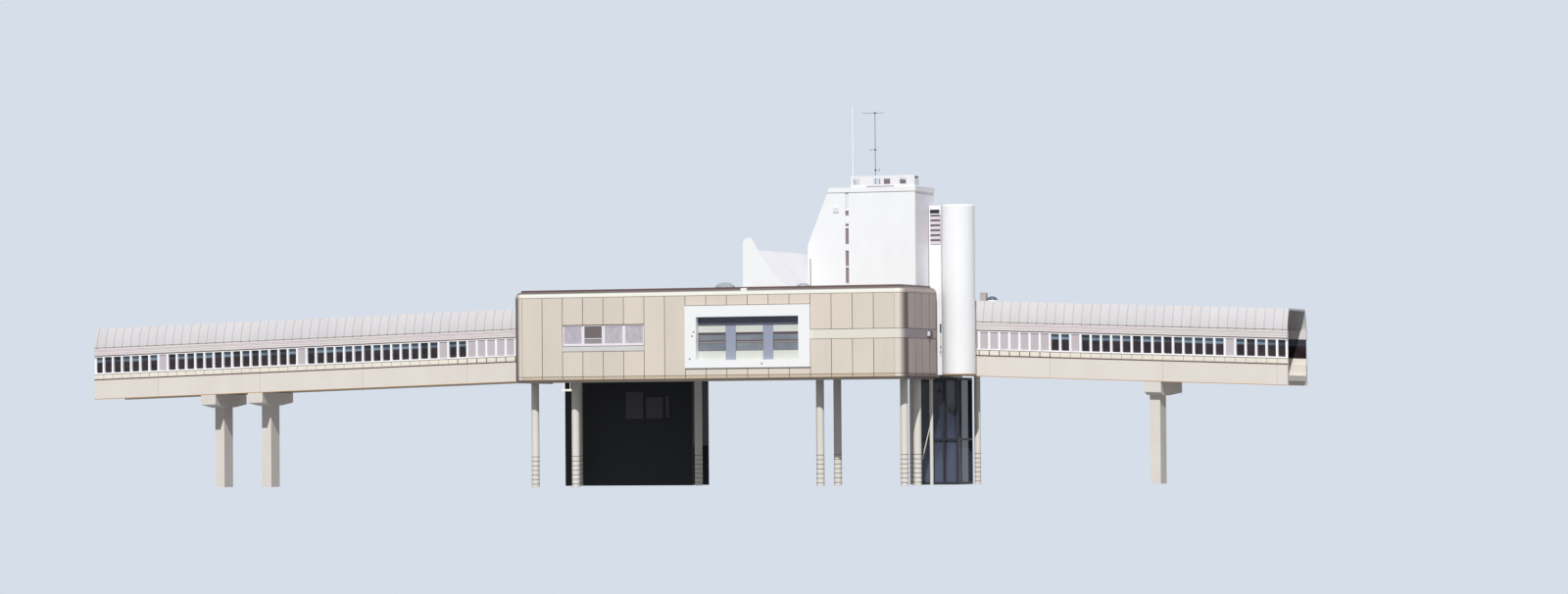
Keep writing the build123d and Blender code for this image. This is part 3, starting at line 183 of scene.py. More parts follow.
class Graph:
    """Node tree of one material, filled round its principled shader."""

    def __init__(self, name: str) -> None:
        """Start a material.

        Args:
            name: name of the material.
        """
        self.material = bpy.data.materials.new(name)
        self.material.use_nodes = True
        self.tree = self.material.node_tree
        self.shader = self.tree.nodes["Principled BSDF"]
        self.place = self.add("ShaderNodeTexCoord").outputs["Object"]

    def add(self, kind: str, **settings: object) -> bpy.types.Node:
        """Add a node with its settings.

        Args:
            kind: node type.
            settings: properties of the node.

        Returns:
            The node.
        """
        node = self.tree.nodes.new(kind)
        for key, value in settings.items():
            setattr(node, key, value)
        return node

    def feed(self, node: bpy.types.Node, socket: str | int, value: object) -> None:
        """Set a socket to a constant or link another node's output to it.

        Args:
            node: node that has the socket.
            socket: name or number of the socket.
            value: constant or output.
        """
        if isinstance(value, Socket):
            self.tree.links.new(value, node.inputs[socket])
        else:
            node.inputs[socket].default_value = value

    def maths(self, operation: str, first: object, second: object = 0.0) -> Socket:
        """Work out one sum.

        Args:
            operation: name of the sum.
            first: first value.
            second: second value.

        Returns:
            The result.
        """
        node = self.add("ShaderNodeMath", operation=operation)
        self.feed(node, 0, first)
        self.feed(node, 1, second)
        return node.outputs[0]

    def axis(self, name: str) -> Socket:
        """Read one axis of the place on the object.

        Args:
            name: X, Y or Z.

        Returns:
            Metres in the row frame.
        """
        node = self.add("ShaderNodeSeparateXYZ")
        self.feed(node, 0, self.place)
        return node.outputs[name]

    def along(self) -> Socket:
        """Place along the front in the drawing."""
        return self.maths("ADD", self.axis("X"), ORIGIN_X)

    def noise(self, stretch: Triple, scale: float, detail: float = 3.0) -> Socket:
        """Make a cloud pattern.

        Args:
            stretch: factor on each axis before the pattern is read.
            scale: patches in a metre.
            detail: fine steps of the pattern.

        Returns:
            Value round 0.5.
        """
        mapping = self.add("ShaderNodeMapping")
        self.feed(mapping, "Vector", self.place)
        self.feed(mapping, "Scale", stretch)
        noise = self.add("ShaderNodeTexNoise")
        self.feed(noise, "Vector", mapping.outputs[0])
        self.feed(noise, "Scale", scale)
        self.feed(noise, "Detail", detail)
        return noise.outputs[0]

    def clouds(self, stretch: Triple, scale: float, values: Span, window: Span = (0.3, 0.7),
               detail: float = 3.0) -> Socket:
        """Make a cloud pattern that wanders between two values.

        Args:
            stretch: factor on each axis before the pattern is read.
            scale: patches in a metre.
            values: the two values.
            window: part of the pattern that is spread over them.
            detail: fine steps of the pattern.

        Returns:
            Value between the two.
        """
        return self.spread(self.noise(stretch, scale, detail), values, window)

    def steps(self, axis: str, start: float, pitch: float) -> Socket:
        """Find the number of the bay that a place lies in.

        Args:
            axis: axis that the bays follow.
            start: place of the first joint in the row frame.
            pitch: width of a bay.

        Returns:
            Whole number, as a value.
        """
        offset = self.maths("SUBTRACT", self.axis(axis), start)
        return self.maths("FLOOR", self.maths("DIVIDE", offset, pitch))

    def chance(self, *numbers: object) -> Socket:
        """Draw a random value for up to three whole numbers.

        Args:
            numbers: the whole numbers.

        Returns:
            Value from 0 to 1, the same one each time.
        """
        pack = self.add("ShaderNodeCombineXYZ")
        for socket, number in enumerate(numbers):
            self.feed(pack, socket, number)
        white = self.add("ShaderNodeTexWhiteNoise")
        self.feed(white, "Vector", pack.outputs[0])
        return white.outputs["Value"]

    def spread(self, value: object, values: Span = (0.0, 1.0), window: Span = (0.0, 1.0)) -> Socket:
        """Move a value from one range to another and hold it inside.

        Args:
            value: what is moved.
            values: results at the window's start and end.
            window: range that is read.

        Returns:
            The moved value.
        """
        node = self.add("ShaderNodeMapRange")
        for socket, number in enumerate((value, *window, *values)):
            self.feed(node, socket, number)
        return node.outputs[0]

    def blend(self, share: object, first: object, second: object) -> Socket:
        """Mix two colours.

        Args:
            share: share of the second one.
            first: first colour.
            second: second colour.

        Returns:
            The mix.
        """
        node = self.add("ShaderNodeMix", data_type="RGBA")
        self.feed(node, 0, share)
        self.feed(node, 6, first)
        self.feed(node, 7, second)
        return node.outputs[2]

    def scaled(self, colour: object, factor: object) -> Socket:
        """Make a colour lighter or darker.

        Args:
            colour: constant with its alpha, or an output.
            factor: what it is multiplied by.

        Returns:
            The new colour.
        """
        node = self.add("ShaderNodeVectorMath", operation="SCALE")
        self.feed(node, 0, colour if isinstance(colour, Socket) else colour[:3])
        self.feed(node, "Scale", factor)
        return node.outputs[0]

    def rough(self, height: Socket, depth: float) -> None:
        """Let the surface rise and fall a little with a pattern.

        Args:
            height: the pattern.
            depth: metres that a height of 1 stands for.
        """
        bump = self.add("ShaderNodeBump")
        self.feed(bump, "Strength", 1.0)
        self.feed(bump, "Distance", depth)
        self.feed(bump, "Height", height)
        self.feed(self.shader, "Normal", bump.outputs[0])

    def surface(self, colour: object, roughness: float, shine: float = 0.5) -> None:
        """Give the shader its main values.

        Args:
            colour: constant with its alpha, or an output.
            roughness: roughness of the surface.
            shine: level of its mirror light, 0.5 for plain paint.
        """
        self.feed(self.shader, "Base Color", colour)
        self.feed(self.shader, "Roughness", roughness)
        self.feed(self.shader, "Specular IOR Level", shine)


@dataclass(frozen=True)
class Finish:
    """Finish with a name and a main colour, as a screen shows it."""

    name: str
    colour: Colour

    def build(self) -> bpy.types.Material:
        """Build the material.

        Returns:
            The material of this finish.
        """
        graph = Graph(self.name)
        self.fill(graph)
        return graph.material

    def fill(self, graph: Graph) -> None:
        """Plain colour, where a finish has no way of its own."""
        graph.surface(linear(self.colour), 0.5)


@dataclass(frozen=True)
class Paint(Finish):
    """Sprayed or brushed paint with faint clouds of wear, which may glow a little."""

    roughness: float = 0.5
    cloud: float = 0.02
    glow: float = 0.0

    def fill(self, graph: Graph) -> None:
        """Fill a material's node tree.

        Args:
            graph: the tree.
        """
        if self.glow:
            graph.feed(graph.shader, "Emission Color", linear(self.colour))
            graph.feed(graph.shader, "Emission Strength", self.glow)
        wear = graph.clouds((1.0, 1.0, 0.5), 1.7, (1 - self.cloud, 1 + self.cloud))
        graph.surface(graph.scaled(linear(self.colour), wear), self.roughness)


@dataclass(frozen=True)
class HeightPaint(Finish):
    """Paint that grows lighter or darker between two levels."""

    factors: Span
    levels: Span
    roughness: float = 0.42

    def fill(self, graph: Graph) -> None:
        """Fill a material's node tree."""
        factor = graph.spread(graph.axis("Z"), self.factors, self.levels)
        graph.surface(graph.scaled(linear(self.colour), factor), self.roughness)


@dataclass(frozen=True)
class SpottedPaint(Finish):
    """Paint with a few small dark spots, each given by its X and Z in the drawing."""

    spot: Colour
    places: tuple[Span, ...]
    radius: float = 0.024
    rim: Span = (0.7, 1.2)
    roughness: float = 0.42

    def fill(self, graph: Graph) -> None:
        """Fill a material's node tree.

        Args:
            graph: the tree.
        """
        share = 0.0
        fade = (self.rim[0] * self.radius, self.rim[1] * self.radius)
        for x, z in self.places:
            across = graph.maths("SUBTRACT", graph.axis("X"), x - ORIGIN_X)
            up = graph.maths("SUBTRACT", graph.axis("Z"), z)
            square = graph.maths("ADD", graph.maths("MULTIPLY", across, across),
                                 graph.maths("MULTIPLY", up, up))
            near = graph.spread(graph.maths("SQRT", square), (1.0, 0.0), fade)
            share = graph.maths("MAXIMUM", share, near)
        graph.surface(graph.blend(share, linear(self.colour), linear(self.spot)), self.roughness)


@dataclass(frozen=True)
class CladdingPaint(Finish):
    """Paint of metal panels: each panel has its own tone, with runs of dirt down it; on the end panels
    the runs are also painted streaks of grazing light.
    """

    stain: Colour
    step: float
    runs: float
    pitch: float = PANEL
    roughness: float = 0.42
    wave: float = 0.012

    def fill(self, graph: Graph) -> None:
        """Fill a material's node tree.

        Args:
            graph: the tree.
        """
        across = graph.steps("X", -ORIGIN_X, self.pitch)
        behind = graph.steps("Y", CORNER - ORIGIN_Y, END_PANEL)
        tone = graph.spread(graph.chance(across, behind), (1 - self.step, 1 + self.step))
        cloud = graph.clouds((1.0, 1.0, 0.7), 0.9, (0.97, 1.03))
        dirt_and_light_runs = graph.clouds((14.0, 14.0, 0.5), 1.0, (0.0, self.runs), (0.5, 0.78))
        body = graph.scaled(linear(self.colour), graph.maths("MULTIPLY", tone, cloud))
        graph.surface(graph.blend(dirt_and_light_runs, body, linear(self.stain)), self.roughness)
        graph.rough(graph.noise((3.0, 3.0, 0.35), 1.0, 1.0), self.wave)


@dataclass(frozen=True)
class DirtAndShadeEnds(Finish):
    """Paint that grows darker round the corners and on the ends: painted shade where the surface turns
    from the sun, and on the corner sheets dirt as well. It can also darken along the roof's edge.
    """

    stain: Colour
    head: Colour
    left_gain: float = 1.6
    reach: Span = (0.42 * CORNER, 0.88 * CORNER)
    head_share: float = 0.95
    head_levels: Span = (5.466, 5.5)
    roughness: float = 0.42

    def fill(self, graph: Graph) -> None:
        """Fill a material's node tree.

        Args:
            graph: the tree.
        """
        along = graph.along()
        # Share of painted shade, with dirt at the corners, grows past the ends of the flat front
        past = graph.maths("MAXIMUM", graph.maths("MULTIPLY", along, -self.left_gain),
                           graph.maths("SUBTRACT", along, HALL_RIGHT))
        share = graph.spread(past, window=self.reach)
        mixed = graph.blend(share, linear(self.colour), linear(self.stain))
        high = graph.spread(graph.axis("Z"), (0.0, self.head_share), self.head_levels)
        mixed = graph.blend(high, mixed, linear(self.head))
        wear = graph.clouds((1.0, 1.0, 0.5), 1.7, (0.98, 1.02))
        graph.surface(graph.scaled(mixed, wear), self.roughness)


@dataclass(frozen=True)
class Concrete(Finish):
    """Painted or bare concrete, or felt, with clouds and fine grain."""

    stain: Colour
    share: float = 0.25
    roughness: float = 0.85
    grain: float = 0.0015

    def fill(self, graph: Graph) -> None:
        """Fill a material's node tree.

        Args:
            graph: the tree.
        """
        cloud = graph.clouds((1.0, 1.0, 0.6), 1.1, (0.0, self.share), (0.42, 0.72), 5.0)
        graph.surface(graph.blend(cloud, linear(self.colour), linear(self.stain)), self.roughness)
        graph.rough(graph.noise((1.0, 1.0, 1.0), 38.0, 4.0), self.grain)


@dataclass(frozen=True)
class ClearSheet(Finish):
    """Pale see-through plastic of the domes."""

    clear: float = 0.55
    roughness: float = 0.25
    bend: float = 1.12

    def fill(self, graph: Graph) -> None:
        """Fill a material's node tree.

        Args:
            graph: the tree.
        """
        graph.surface(linear(self.colour), self.roughness)
        graph.feed(graph.shader, "Transmission Weight", self.clear)
        graph.feed(graph.shader, "IOR", self.bend)


@dataclass(frozen=True)
class PaneGlass(Finish):
    """Glass before a dark room, with a tone of its own in each pane."""

    second: Colour
    pitch: float
    haze: Span = (-0.25, 0.25)
    roughness: float = 0.06
    shine: float = 0.4

    def fill(self, graph: Graph) -> None:
        """Fill a material's node tree.

        Args:
            graph: the tree.
        """
        share = graph.chance(graph.steps("X", -ORIGIN_X, self.pitch))
        haze = graph.clouds((1.0, 1.0, 1.4), 2.2, self.haze)
        mixed = graph.spread(graph.maths("ADD", share, haze))
        graph.surface(graph.blend(mixed, linear(self.colour), linear(self.second)),
                      self.roughness, self.shine)


@dataclass(frozen=True)
class SlopedGlass(Finish):
    """Walkway glass: dark room behind, and a pale painted reflection high up in most panes."""

    second: Colour
    pale: Colour
    reflection_levels: Span = (0.62, 0.68)
    roughness: float = 0.08
    shine: float = 0.3

    def fill(self, graph: Graph) -> None:
        """Fill a material's node tree.

        Args:
            graph: the tree.
        """
        along = graph.along()
        left = graph.maths("MAXIMUM", graph.maths("MULTIPLY", along, -1.0), 0.0)
        right = graph.maths("MAXIMUM", graph.maths("SUBTRACT", along, HALL_RIGHT), 0.0)
        fall = graph.maths("ADD", graph.maths("MULTIPLY", left, LEFT_FALL),
                           graph.maths("MULTIPLY", right, RIGHT_FALL))
        upright = graph.maths("ADD", graph.axis("Z"), fall)
        over_foot = graph.maths("SUBTRACT", upright, GIRDER_BASE + PANE_FOOT)
        level = graph.maths("DIVIDE", over_foot, PANE_HEAD - PANE_FOOT)
        bays = [graph.maths("FLOOR", graph.maths("DIVIDE", reach, pitch))
                for reach, pitch in ((left, LEFT_BAY), (right, RIGHT_BAY))]
        # Painted reflection: pale in the upper part of most panes, stronger in some than in others
        lit = graph.spread(graph.chance(*bays), (0.15, 1.0), (0.25, 0.6))
        high = graph.spread(level, window=self.reflection_levels)
        haze = graph.clouds((1.0, 1.0, 1.4), 3.2, (0.0, 1.0), (0.35, 0.65))
        room = graph.blend(haze, linear(self.colour), linear(self.second))
        pale = graph.maths("MULTIPLY", lit, high)
        graph.surface(graph.blend(pale, room, linear(self.pale)), self.roughness, self.shine)


@dataclass(frozen=True)
class RibbonGlass(Finish):
    """Pale glass of the ribbon windows, with one light of each window dark in its upper part."""

    dark: Colour
    dark_foot: Colour
    dark_levels: Span = (4.16, 4.22)
    dark_bays: Span = (1.0, 11.0)
    roughness: float = 0.25
    shine: float = 0.3

    def fill(self, graph: Graph) -> None:
        """Fill a material's node tree.

        Args:
            graph: the tree.
        """
        bay = graph.steps("X", RIBBON_START - ORIGIN_X, PANEL)
        near = [graph.maths("ABSOLUTE", graph.maths("SUBTRACT", bay, number))
                for number in self.dark_bays]
        share = graph.spread(graph.maths("MINIMUM", *near), (1.0, 0.0))
        streaks = graph.clouds((3.0, 1.0, 1.6), 3.0, (0.88, 1.1), detail=4.0)
        pale = graph.scaled(linear(self.colour), streaks)
        high = graph.spread(graph.axis("Z"), window=self.dark_levels)
        dark = graph.blend(high, linear(self.dark_foot), linear(self.dark))
        graph.surface(graph.blend(share, pale, dark), self.roughness, self.shine)


@dataclass(frozen=True)
class LobbyGlass(Finish):
    """Dark lobby glass with blue-grey fields where it mirrors the street."""

    middle: Colour
    pale: Colour
    start: float = 10.54
    pitch: float = 0.4
    draw: float = 3.0
    low_levels: Span = (0.7, 1.9)
    high_levels: Span = (1.9, 2.2)
    roughness: float = 0.08
    shine: float = 0.4

    def fill(self, graph: Graph) -> None:
        """Fill a material's node tree.

        Args:
            graph: the tree.
        """
        wave = graph.clouds((2.2, 2.2, 0.6), 1.4, (-0.35, 0.35), detail=2.0)
        level = graph.maths("ADD", graph.axis("Z"), wave)
        low = graph.spread(level, (1.0, 0.0), self.low_levels)
        bay = graph.chance(graph.steps("X", self.start - ORIGIN_X, self.pitch), self.draw)
        high = graph.maths("MULTIPLY", graph.spread(bay, (0.0, 0.9), (0.3, 0.55)),
                           graph.spread(level, window=self.high_levels))
        body = graph.blend(low, linear(self.colour), linear(self.middle))
        graph.surface(graph.blend(high, body, linear(self.pale)), self.roughness, self.shine)


CREAM = CladdingPaint("cream panels", (218, 208, 194), (190, 168, 144), 0.04, 0.12)
# End panels: the darker tone is painted shade of the end wall, and the strong runs are dirt together
# with painted streaks of grazing light
SHADED_END_CREAM = CladdingPaint("end panels painted shade", (174, 159, 155), (132, 114, 108), 0.06, 0.8)
SILL = CladdingPaint("walkway sill", (236, 229, 216), (200, 182, 158), 0.02, 0.22, 2 * PANEL)
# These darken into painted shade round the corners and on the ends, with dirt as well on the corner
# sheets; the roof rim also darkens along its upper edge. The base strips and base edge are darker all
# over as painted shade under the hall's lower edge.
CORNER_CREAM = DirtAndShadeEnds("corner sheets", (219, 209, 197), (98, 86, 80), (98, 86, 80))
BAND_CREAM = DirtAndShadeEnds("side band", (226, 220, 208), (138, 128, 134), (138, 128, 134))
STRIP_CREAM = DirtAndShadeEnds("base strips", (198, 184, 162), (116, 102, 94), (116, 102, 94))
RIM_WHITE = DirtAndShadeEnds("roof rim", (228, 227, 216), (170, 152, 144), (98, 86, 86))
BASE_EDGE = DirtAndShadeEnds("hall base edge", (166, 152, 134), (96, 86, 78), (96, 86, 78))
JOINT = Paint("brown joints", (92, 64, 48), 0.7)
EDGE_DARK = Paint("roof edge trim", (92, 60, 58))
SHELL_WHITE = Paint("shell white", (241, 241, 241), 0.42)
# The tower's right side is white with a lilac tint that is painted reflection of the sky
SKY_TINTED_SIDE_WHITE = Paint("tower side white with painted sky tint", (240, 235, 242), 0.42)
# The sail shell is painted lighter towards its top and darker low down, as painted light that evens
# out its shading
SAIL_WHITE_PAINTED_LIGHT = HeightPaint("sail white painted light", (234, 232, 236), (0.93, 1.13), (5.66, 6.56))
SURROUND_WHITE = SpottedPaint("window surround", (241, 241, 241), (48, 40, 46),
                              ((5.27, 4.345), (5.222, 4.232), (5.15, 3.592), (7.318, 3.44)))
EDGE_WHITE = Paint("dome curbs", (240, 238, 230), 0.4)
FRAME_WHITE = Paint("white mullions", (248, 248, 248), 0.4)
POLE_WHITE = Paint("flagpole", (238, 240, 242), 0.4)
VENT_WHITE = Paint("tower vent", (222, 222, 226))
SCREEN = Paint("screen", (238, 236, 239))
NAVY = Paint("window header", (80, 80, 98), 0.45)
LILAC_GREY = Paint("window piers", (149, 154, 172), 0.45)
LILAC_WHITE = Paint("ribbon frame", (232, 228, 236), 0.45)
BOARD = Paint("pale boards", (206, 208, 200), 0.6)
SILL_BAND = Paint("ribbon sill band", (206, 208, 206))
BAR_DARK = Paint("window bars", (84, 68, 74), 0.6)
FASCIA = Paint("walkway fascia", (224, 215, 214), cloud=0.03)
ROOF = Paint("walkway roof", (202, 199, 200), 0.55, 0.03)
# The ribs are darker than the roof as painted shade of their sides
RIB = Paint("roof ribs painted shade", (176, 172, 174), 0.6)
HATCH = Paint("roof hatch", (178, 172, 173))
INFILL = Paint("opaque panes", (194, 184, 188), 0.35, 0.04)
LINE_BROWN = Paint("brown lines", (138, 100, 80), 0.7)
LINE_DARK = Paint("dark lines", (88, 66, 60), 0.7)
LINE_GREY = Paint("grey lines", (146, 134, 132), 0.7)
OCHRE = Paint("ochre edge", (190, 144, 90), 0.7)
RING_DARK = Paint("ring lines", (70, 64, 64), 0.7)
CHARCOAL = Paint("dark sheet", (34, 33, 39), 0.55)
# Near-black paint of the stair enclosure is painted deep shade under the hall
STAIR_SHADE_SHEET = Paint("stair sheet painted shade", (18, 17, 20), 0.85)
STAIR_PANE = Paint("stair panes", (46, 43, 52), 0.6)
LAMP_GLASS = Paint("lamp glass", (250, 246, 232), cloud=0.0, glow=0.8)
LOUVRE_PALE = Paint("louvre slats", (206, 198, 200))
# The dark louvre backing is painted shade behind the slats
LOUVRE_SHADE = Paint("louvre gaps painted shade", (92, 84, 90), 0.6)
UNIT_GREY = Paint("cooling units", (124, 110, 112))
MAST_GREY = Paint("aerials", (92, 98, 112))
SLOT_GLASS = Paint("slot panes", (142, 122, 130), 0.2, 0.08)
SLOT_PALE = Paint("pale slot pane", (226, 226, 226), 0.3)
FELT = Concrete("roofing felt", (128, 126, 124), (108, 104, 102), 0.6)
GIRDER = Concrete("girder", (224, 217, 209), (208, 194, 178))
COLUMN = Concrete("column", (224, 219, 210), (198, 190, 178), 0.2)
PIER = Concrete("pier", (220, 213, 206), (186, 174, 162))
# The dark soffit paint of the hall's floor and beams is painted shade under the hall
SOFFIT_SHADE = Concrete("soffit", (70, 64, 64), (50, 46, 48))
DOME_CLEAR = ClearSheet("dome", (206, 210, 218))
DOME_DARK = Paint("hatch dome", (84, 92, 110), 0.35)
WALKWAY_GLASS = SlopedGlass("walkway glass", (36, 28, 32), (54, 44, 48), (122, 142, 160))
RIBBON_GLASS = RibbonGlass("ribbon glass", (186, 180, 188), (112, 104, 102), (150, 144, 146))
BIG_GLASS = PaneGlass("big window glass", (100, 106, 120), (136, 142, 148), 0.9)
LOBBY_GLASS = LobbyGlass("lobby glass", (42, 44, 60), (76, 84, 104), (112, 114, 126))


def clear_selection() -> None:
    """Leave edit mode and deselect everything."""
    active = bpy.context.view_layer.objects.active
    if active and active.mode != "OBJECT":
        bpy.ops.object.mode_set(mode="OBJECT")
    bpy.ops.object.select_all(action="DESELECT")


def focus(piece: Piece) -> None:
    """Make a piece the only selected one, and active.

    Args:
        piece: the piece.
    """
    clear_selection()
    piece.select_set(True)
    bpy.context.view_layer.objects.active = piece


def settle(piece: Piece, name: str) -> Piece:
    """Put a new piece's place into its mesh and name it.

    Args:
        piece: object that was just made.
        name: its name.

    Returns:
        The same object.
    """
    focus(piece)
    bpy.ops.object.transform_apply(location=True, rotation=True, scale=True)
    piece.name = name
    piece.data.name = name
    return piece


def block(name: str, low: Triple, high: Triple) -> Piece:
    """Make the square start of a piece.

    Args:
        name: name of the piece.
        low: lowest corner in the drawing.
        high: highest corner in the drawing.

    Returns:
        A box between the corners.
    """
    clear_selection()
    size = [b - a for a, b in zip(low, high)]
    middle = at(*((a + b) / 2 for a, b in zip(low, high)))
    bpy.ops.mesh.primitive_cube_add(size=1.0, location=middle, scale=size)
    return settle(bpy.context.object, name)


def drum(name: str, x: float, y: float, levels: Span, radius: float, sides: int = 32) -> Piece:
    """Make the upright round start of a piece.

    Args:
        name: name of the piece.
        x: middle along the front.
        y: middle towards the back.
        levels: lower and upper end.
        radius: its radius.
        sides: flats round it.

    Returns:
        A closed cylinder.
    """
    clear_selection()
    low, high = levels
    bpy.ops.mesh.primitive_cylinder_add(vertices=sides, radius=radius, depth=high - low,
                                        location=at(x, y, (low + high) / 2))
    return settle(bpy.context.object, name)


def facing(*ways: Triple) -> FaceTest:
    """Make a test for faces that point in one of some directions.

    Args:
        ways: the directions.

    Returns:
        Test for choose_faces.
    """
    wanted = [Vector(way) for way in ways]
    return lambda centre, normal: any(normal.dot(way) > ALIGNED for way in wanted)


def choose_faces(piece: Piece, test: FaceTest | None = None) -> None:
    """Enter edit mode with only some faces selected.

    Args:
        piece: object to edit.
        test: says from a face's centre in the drawing and its normal whether it is taken. Without
            it, all are.
    """
    focus(piece)
    bpy.context.tool_settings.mesh_select_mode = (False, False, True)
    mesh = piece.data
    mesh.vertices.foreach_set("select", [False] * len(mesh.vertices))
    mesh.edges.foreach_set("select", [False] * len(mesh.edges))
    for face in mesh.polygons:
        face.select = test is None or test(face.center + ORIGIN, face.normal)
    bpy.ops.object.mode_set(mode="EDIT")


def choose_points(piece: Piece, test: PointTest | None = None) -> None:
    """Enter edit mode with only some points selected.

    Args:
        piece: object to edit.
        test: says from a point's place in the drawing whether it is taken. Without it, all are.
    """
    focus(piece)
    bpy.context.tool_settings.mesh_select_mode = (True, False, False)
    mesh = piece.data
    mesh.edges.foreach_set("select", [False] * len(mesh.edges))
    mesh.polygons.foreach_set("select", [False] * len(mesh.polygons))
    for point in mesh.vertices:
        point.select = test is None or test(point.co + ORIGIN)
    bpy.ops.object.mode_set(mode="EDIT")


def leave() -> None:
    """Go back to object mode."""
    bpy.ops.object.mode_set(mode="OBJECT")


def pull(step: Triple) -> None:
    """Extrude the selected faces by a step."""
    bpy.ops.mesh.extrude_region_move(TRANSFORM_OT_translate={"value": step})


def move_points(piece: Piece, test: PointTest, step: Triple) -> Piece:
    """Move some points of a piece.

    Args:
        piece: object to edit.
        test: says which points move.
        step: how far they go.

    Returns:
        The same object.
    """
    choose_points(piece, test)
    bpy.ops.transform.translate(value=step)
    leave()
    return piece


def inset(piece: Piece, test: FaceTest, margin: float, rise: float = 0.0,
          each: bool = False) -> Piece:
    """Draw a smaller field inside some faces, and raise or sink it.

    Args:
        piece: object to edit.
        test: says which faces are taken.
        margin: width that stays round the field.
        rise: height of the field over its margin.
        each: whether every face has a field of its own.

    Returns:
        The same object.
    """
    choose_faces(piece, test)
    bpy.ops.mesh.inset(thickness=margin, depth=rise, use_individual=each)
    leave()
    return piece


def soften(piece: Piece, width: float = FINE_EDGE, segments: int = 1) -> Piece:
    """Break the sharp edges of a piece with a small bevel.

    Args:
        piece: object to finish.
        width: width of the bevel.
        segments: steps round each edge.

    Returns:
        The same object.
    """
    focus(piece)
    bevel = piece.modifiers.new("edges", "BEVEL")
    bevel.width = width
    bevel.segments = segments
    bevel.limit_method = "ANGLE"
    bevel.angle_limit = math.radians(EDGE_ANGLE)
    bpy.ops.object.modifier_apply(modifier=bevel.name)
    return piece


def plate(low: Triple, high: Triple, edge: float = FINE_EDGE, name: str = "part") -> Piece:
    """Make a square part with broken edges.

    Args:
        low: lowest corner in the drawing.
        high: highest corner in the drawing.
        edge: width of the broken edges.
        name: name of the piece, where it stays on its own.

    Returns:
        The part.
    """
    return soften(block(name, low, high), edge)


def repeat(piece: Piece, count: int, step: Triple) -> Piece:
    """Copy a piece into a row, as one mesh.

    Args:
        piece: first of the row.
        count: how many there are in all.
        step: way from one to the next.

    Returns:
        The same object, with all copies in its mesh.
    """
    if count < 2:
        return piece
    focus(piece)
    array = piece.modifiers.new("row", "ARRAY")
    array.use_relative_offset = False
    array.use_constant_offset = True
    array.constant_offset_displace = step
    array.count = count
    bpy.ops.object.modifier_apply(modifier=array.name)
    return piece


def merge(name: str, pieces: list[Piece]) -> Piece:
    """Join pieces into one object.

    Args:
        name: name of the whole.
        pieces: one piece or more.

    Returns:
        The joined object.
    """
    clear_selection()
    for piece in pieces:
        piece.select_set(True)
    bpy.context.view_layer.objects.active = pieces[0]
    if len(pieces) > 1:
        bpy.ops.object.join()
    pieces[0].name = name
    pieces[0].data.name = name
    return pieces[0]


def smooth(piece: Piece, degrees: float = 35.0) -> Piece:
    """Shade a piece smooth except at its sharper edges.

    Args:
        piece: object to shade.
        degrees: angle from which an edge stays sharp.

    Returns:
        The same object.
    """
    focus(piece)
    bpy.ops.object.shade_smooth_by_angle(angle=math.radians(degrees))
    return piece


def tidy_shell(piece: Piece) -> Piece:
    """Merge doubles and turn all faces outwards.

    Args:
        piece: object to repair.

    Returns:
        The same object.
    """
    choose_faces(piece)
    bpy.ops.mesh.remove_doubles(threshold=MERGE_REACH)
    bpy.ops.mesh.normals_make_consistent(inside=False)
    leave()
    return piece


def resize(piece: Piece, factors: Triple, middle: Vector, test: FaceTest | None = None) -> Piece:
    """Scale some faces of a piece about a point.

    Args:
        piece: object to edit.
        factors: factor on each axis.
        middle: point in the row frame that stays where it is.
        test: says which faces are taken. Without it, all are.

    Returns:
        The same object.
    """
    choose_faces(piece, test)
    bpy.ops.transform.resize(value=factors, center_override=middle)
    leave()
    return piece


class Workshop:
    """Dresses pieces and CAD nodes and ties new pieces to the frame."""

    def __init__(self, frame: dict) -> None:
        """Keep the frame's nodes and body.
        """
        self.nodes = frame["nodes"]
        self.body = next(iter(frame["bodies"]))
        self.made: dict[str, bpy.types.Material] = {}

    def material(self, finish: Finish) -> bpy.types.Material:
        """Find the material of a finish, or build it once.

        Args:
            finish: the finish.

        Returns:
            Its material.
        """
        if finish.name not in self.made:
            self.made[finish.name] = finish.build()
        return self.made[finish.name]

    def paint(self, finish: Finish, *names: str) -> None:
        """Give CAD nodes a finish.

        Args:
            finish: finish that they get.
            names: nodes that stay as they are modelled.
        """
        for name in names:
            mesh = self.nodes[name].data
            mesh.materials.clear()
            mesh.materials.append(self.material(finish))

    def dress(self, piece: Piece, finish: Finish, slot: Slot, *replaced: str) -> Piece:
        """Finish a new piece and tie it to the frame.

        Args:
            piece: finished shape.
            finish: its finish.
            slot: material slot of the record; not used.
            replaced: CAD nodes that it stands for.

        Returns:
            The same object.
        """
        piece.data.materials.clear()
        piece.data.materials.append(self.material(finish))
        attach(piece, self.body)
        if replaced:
            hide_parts(*replaced)
        LOG.info("%s: %d faces", piece.name, len(piece.data.polygons))
        return piece


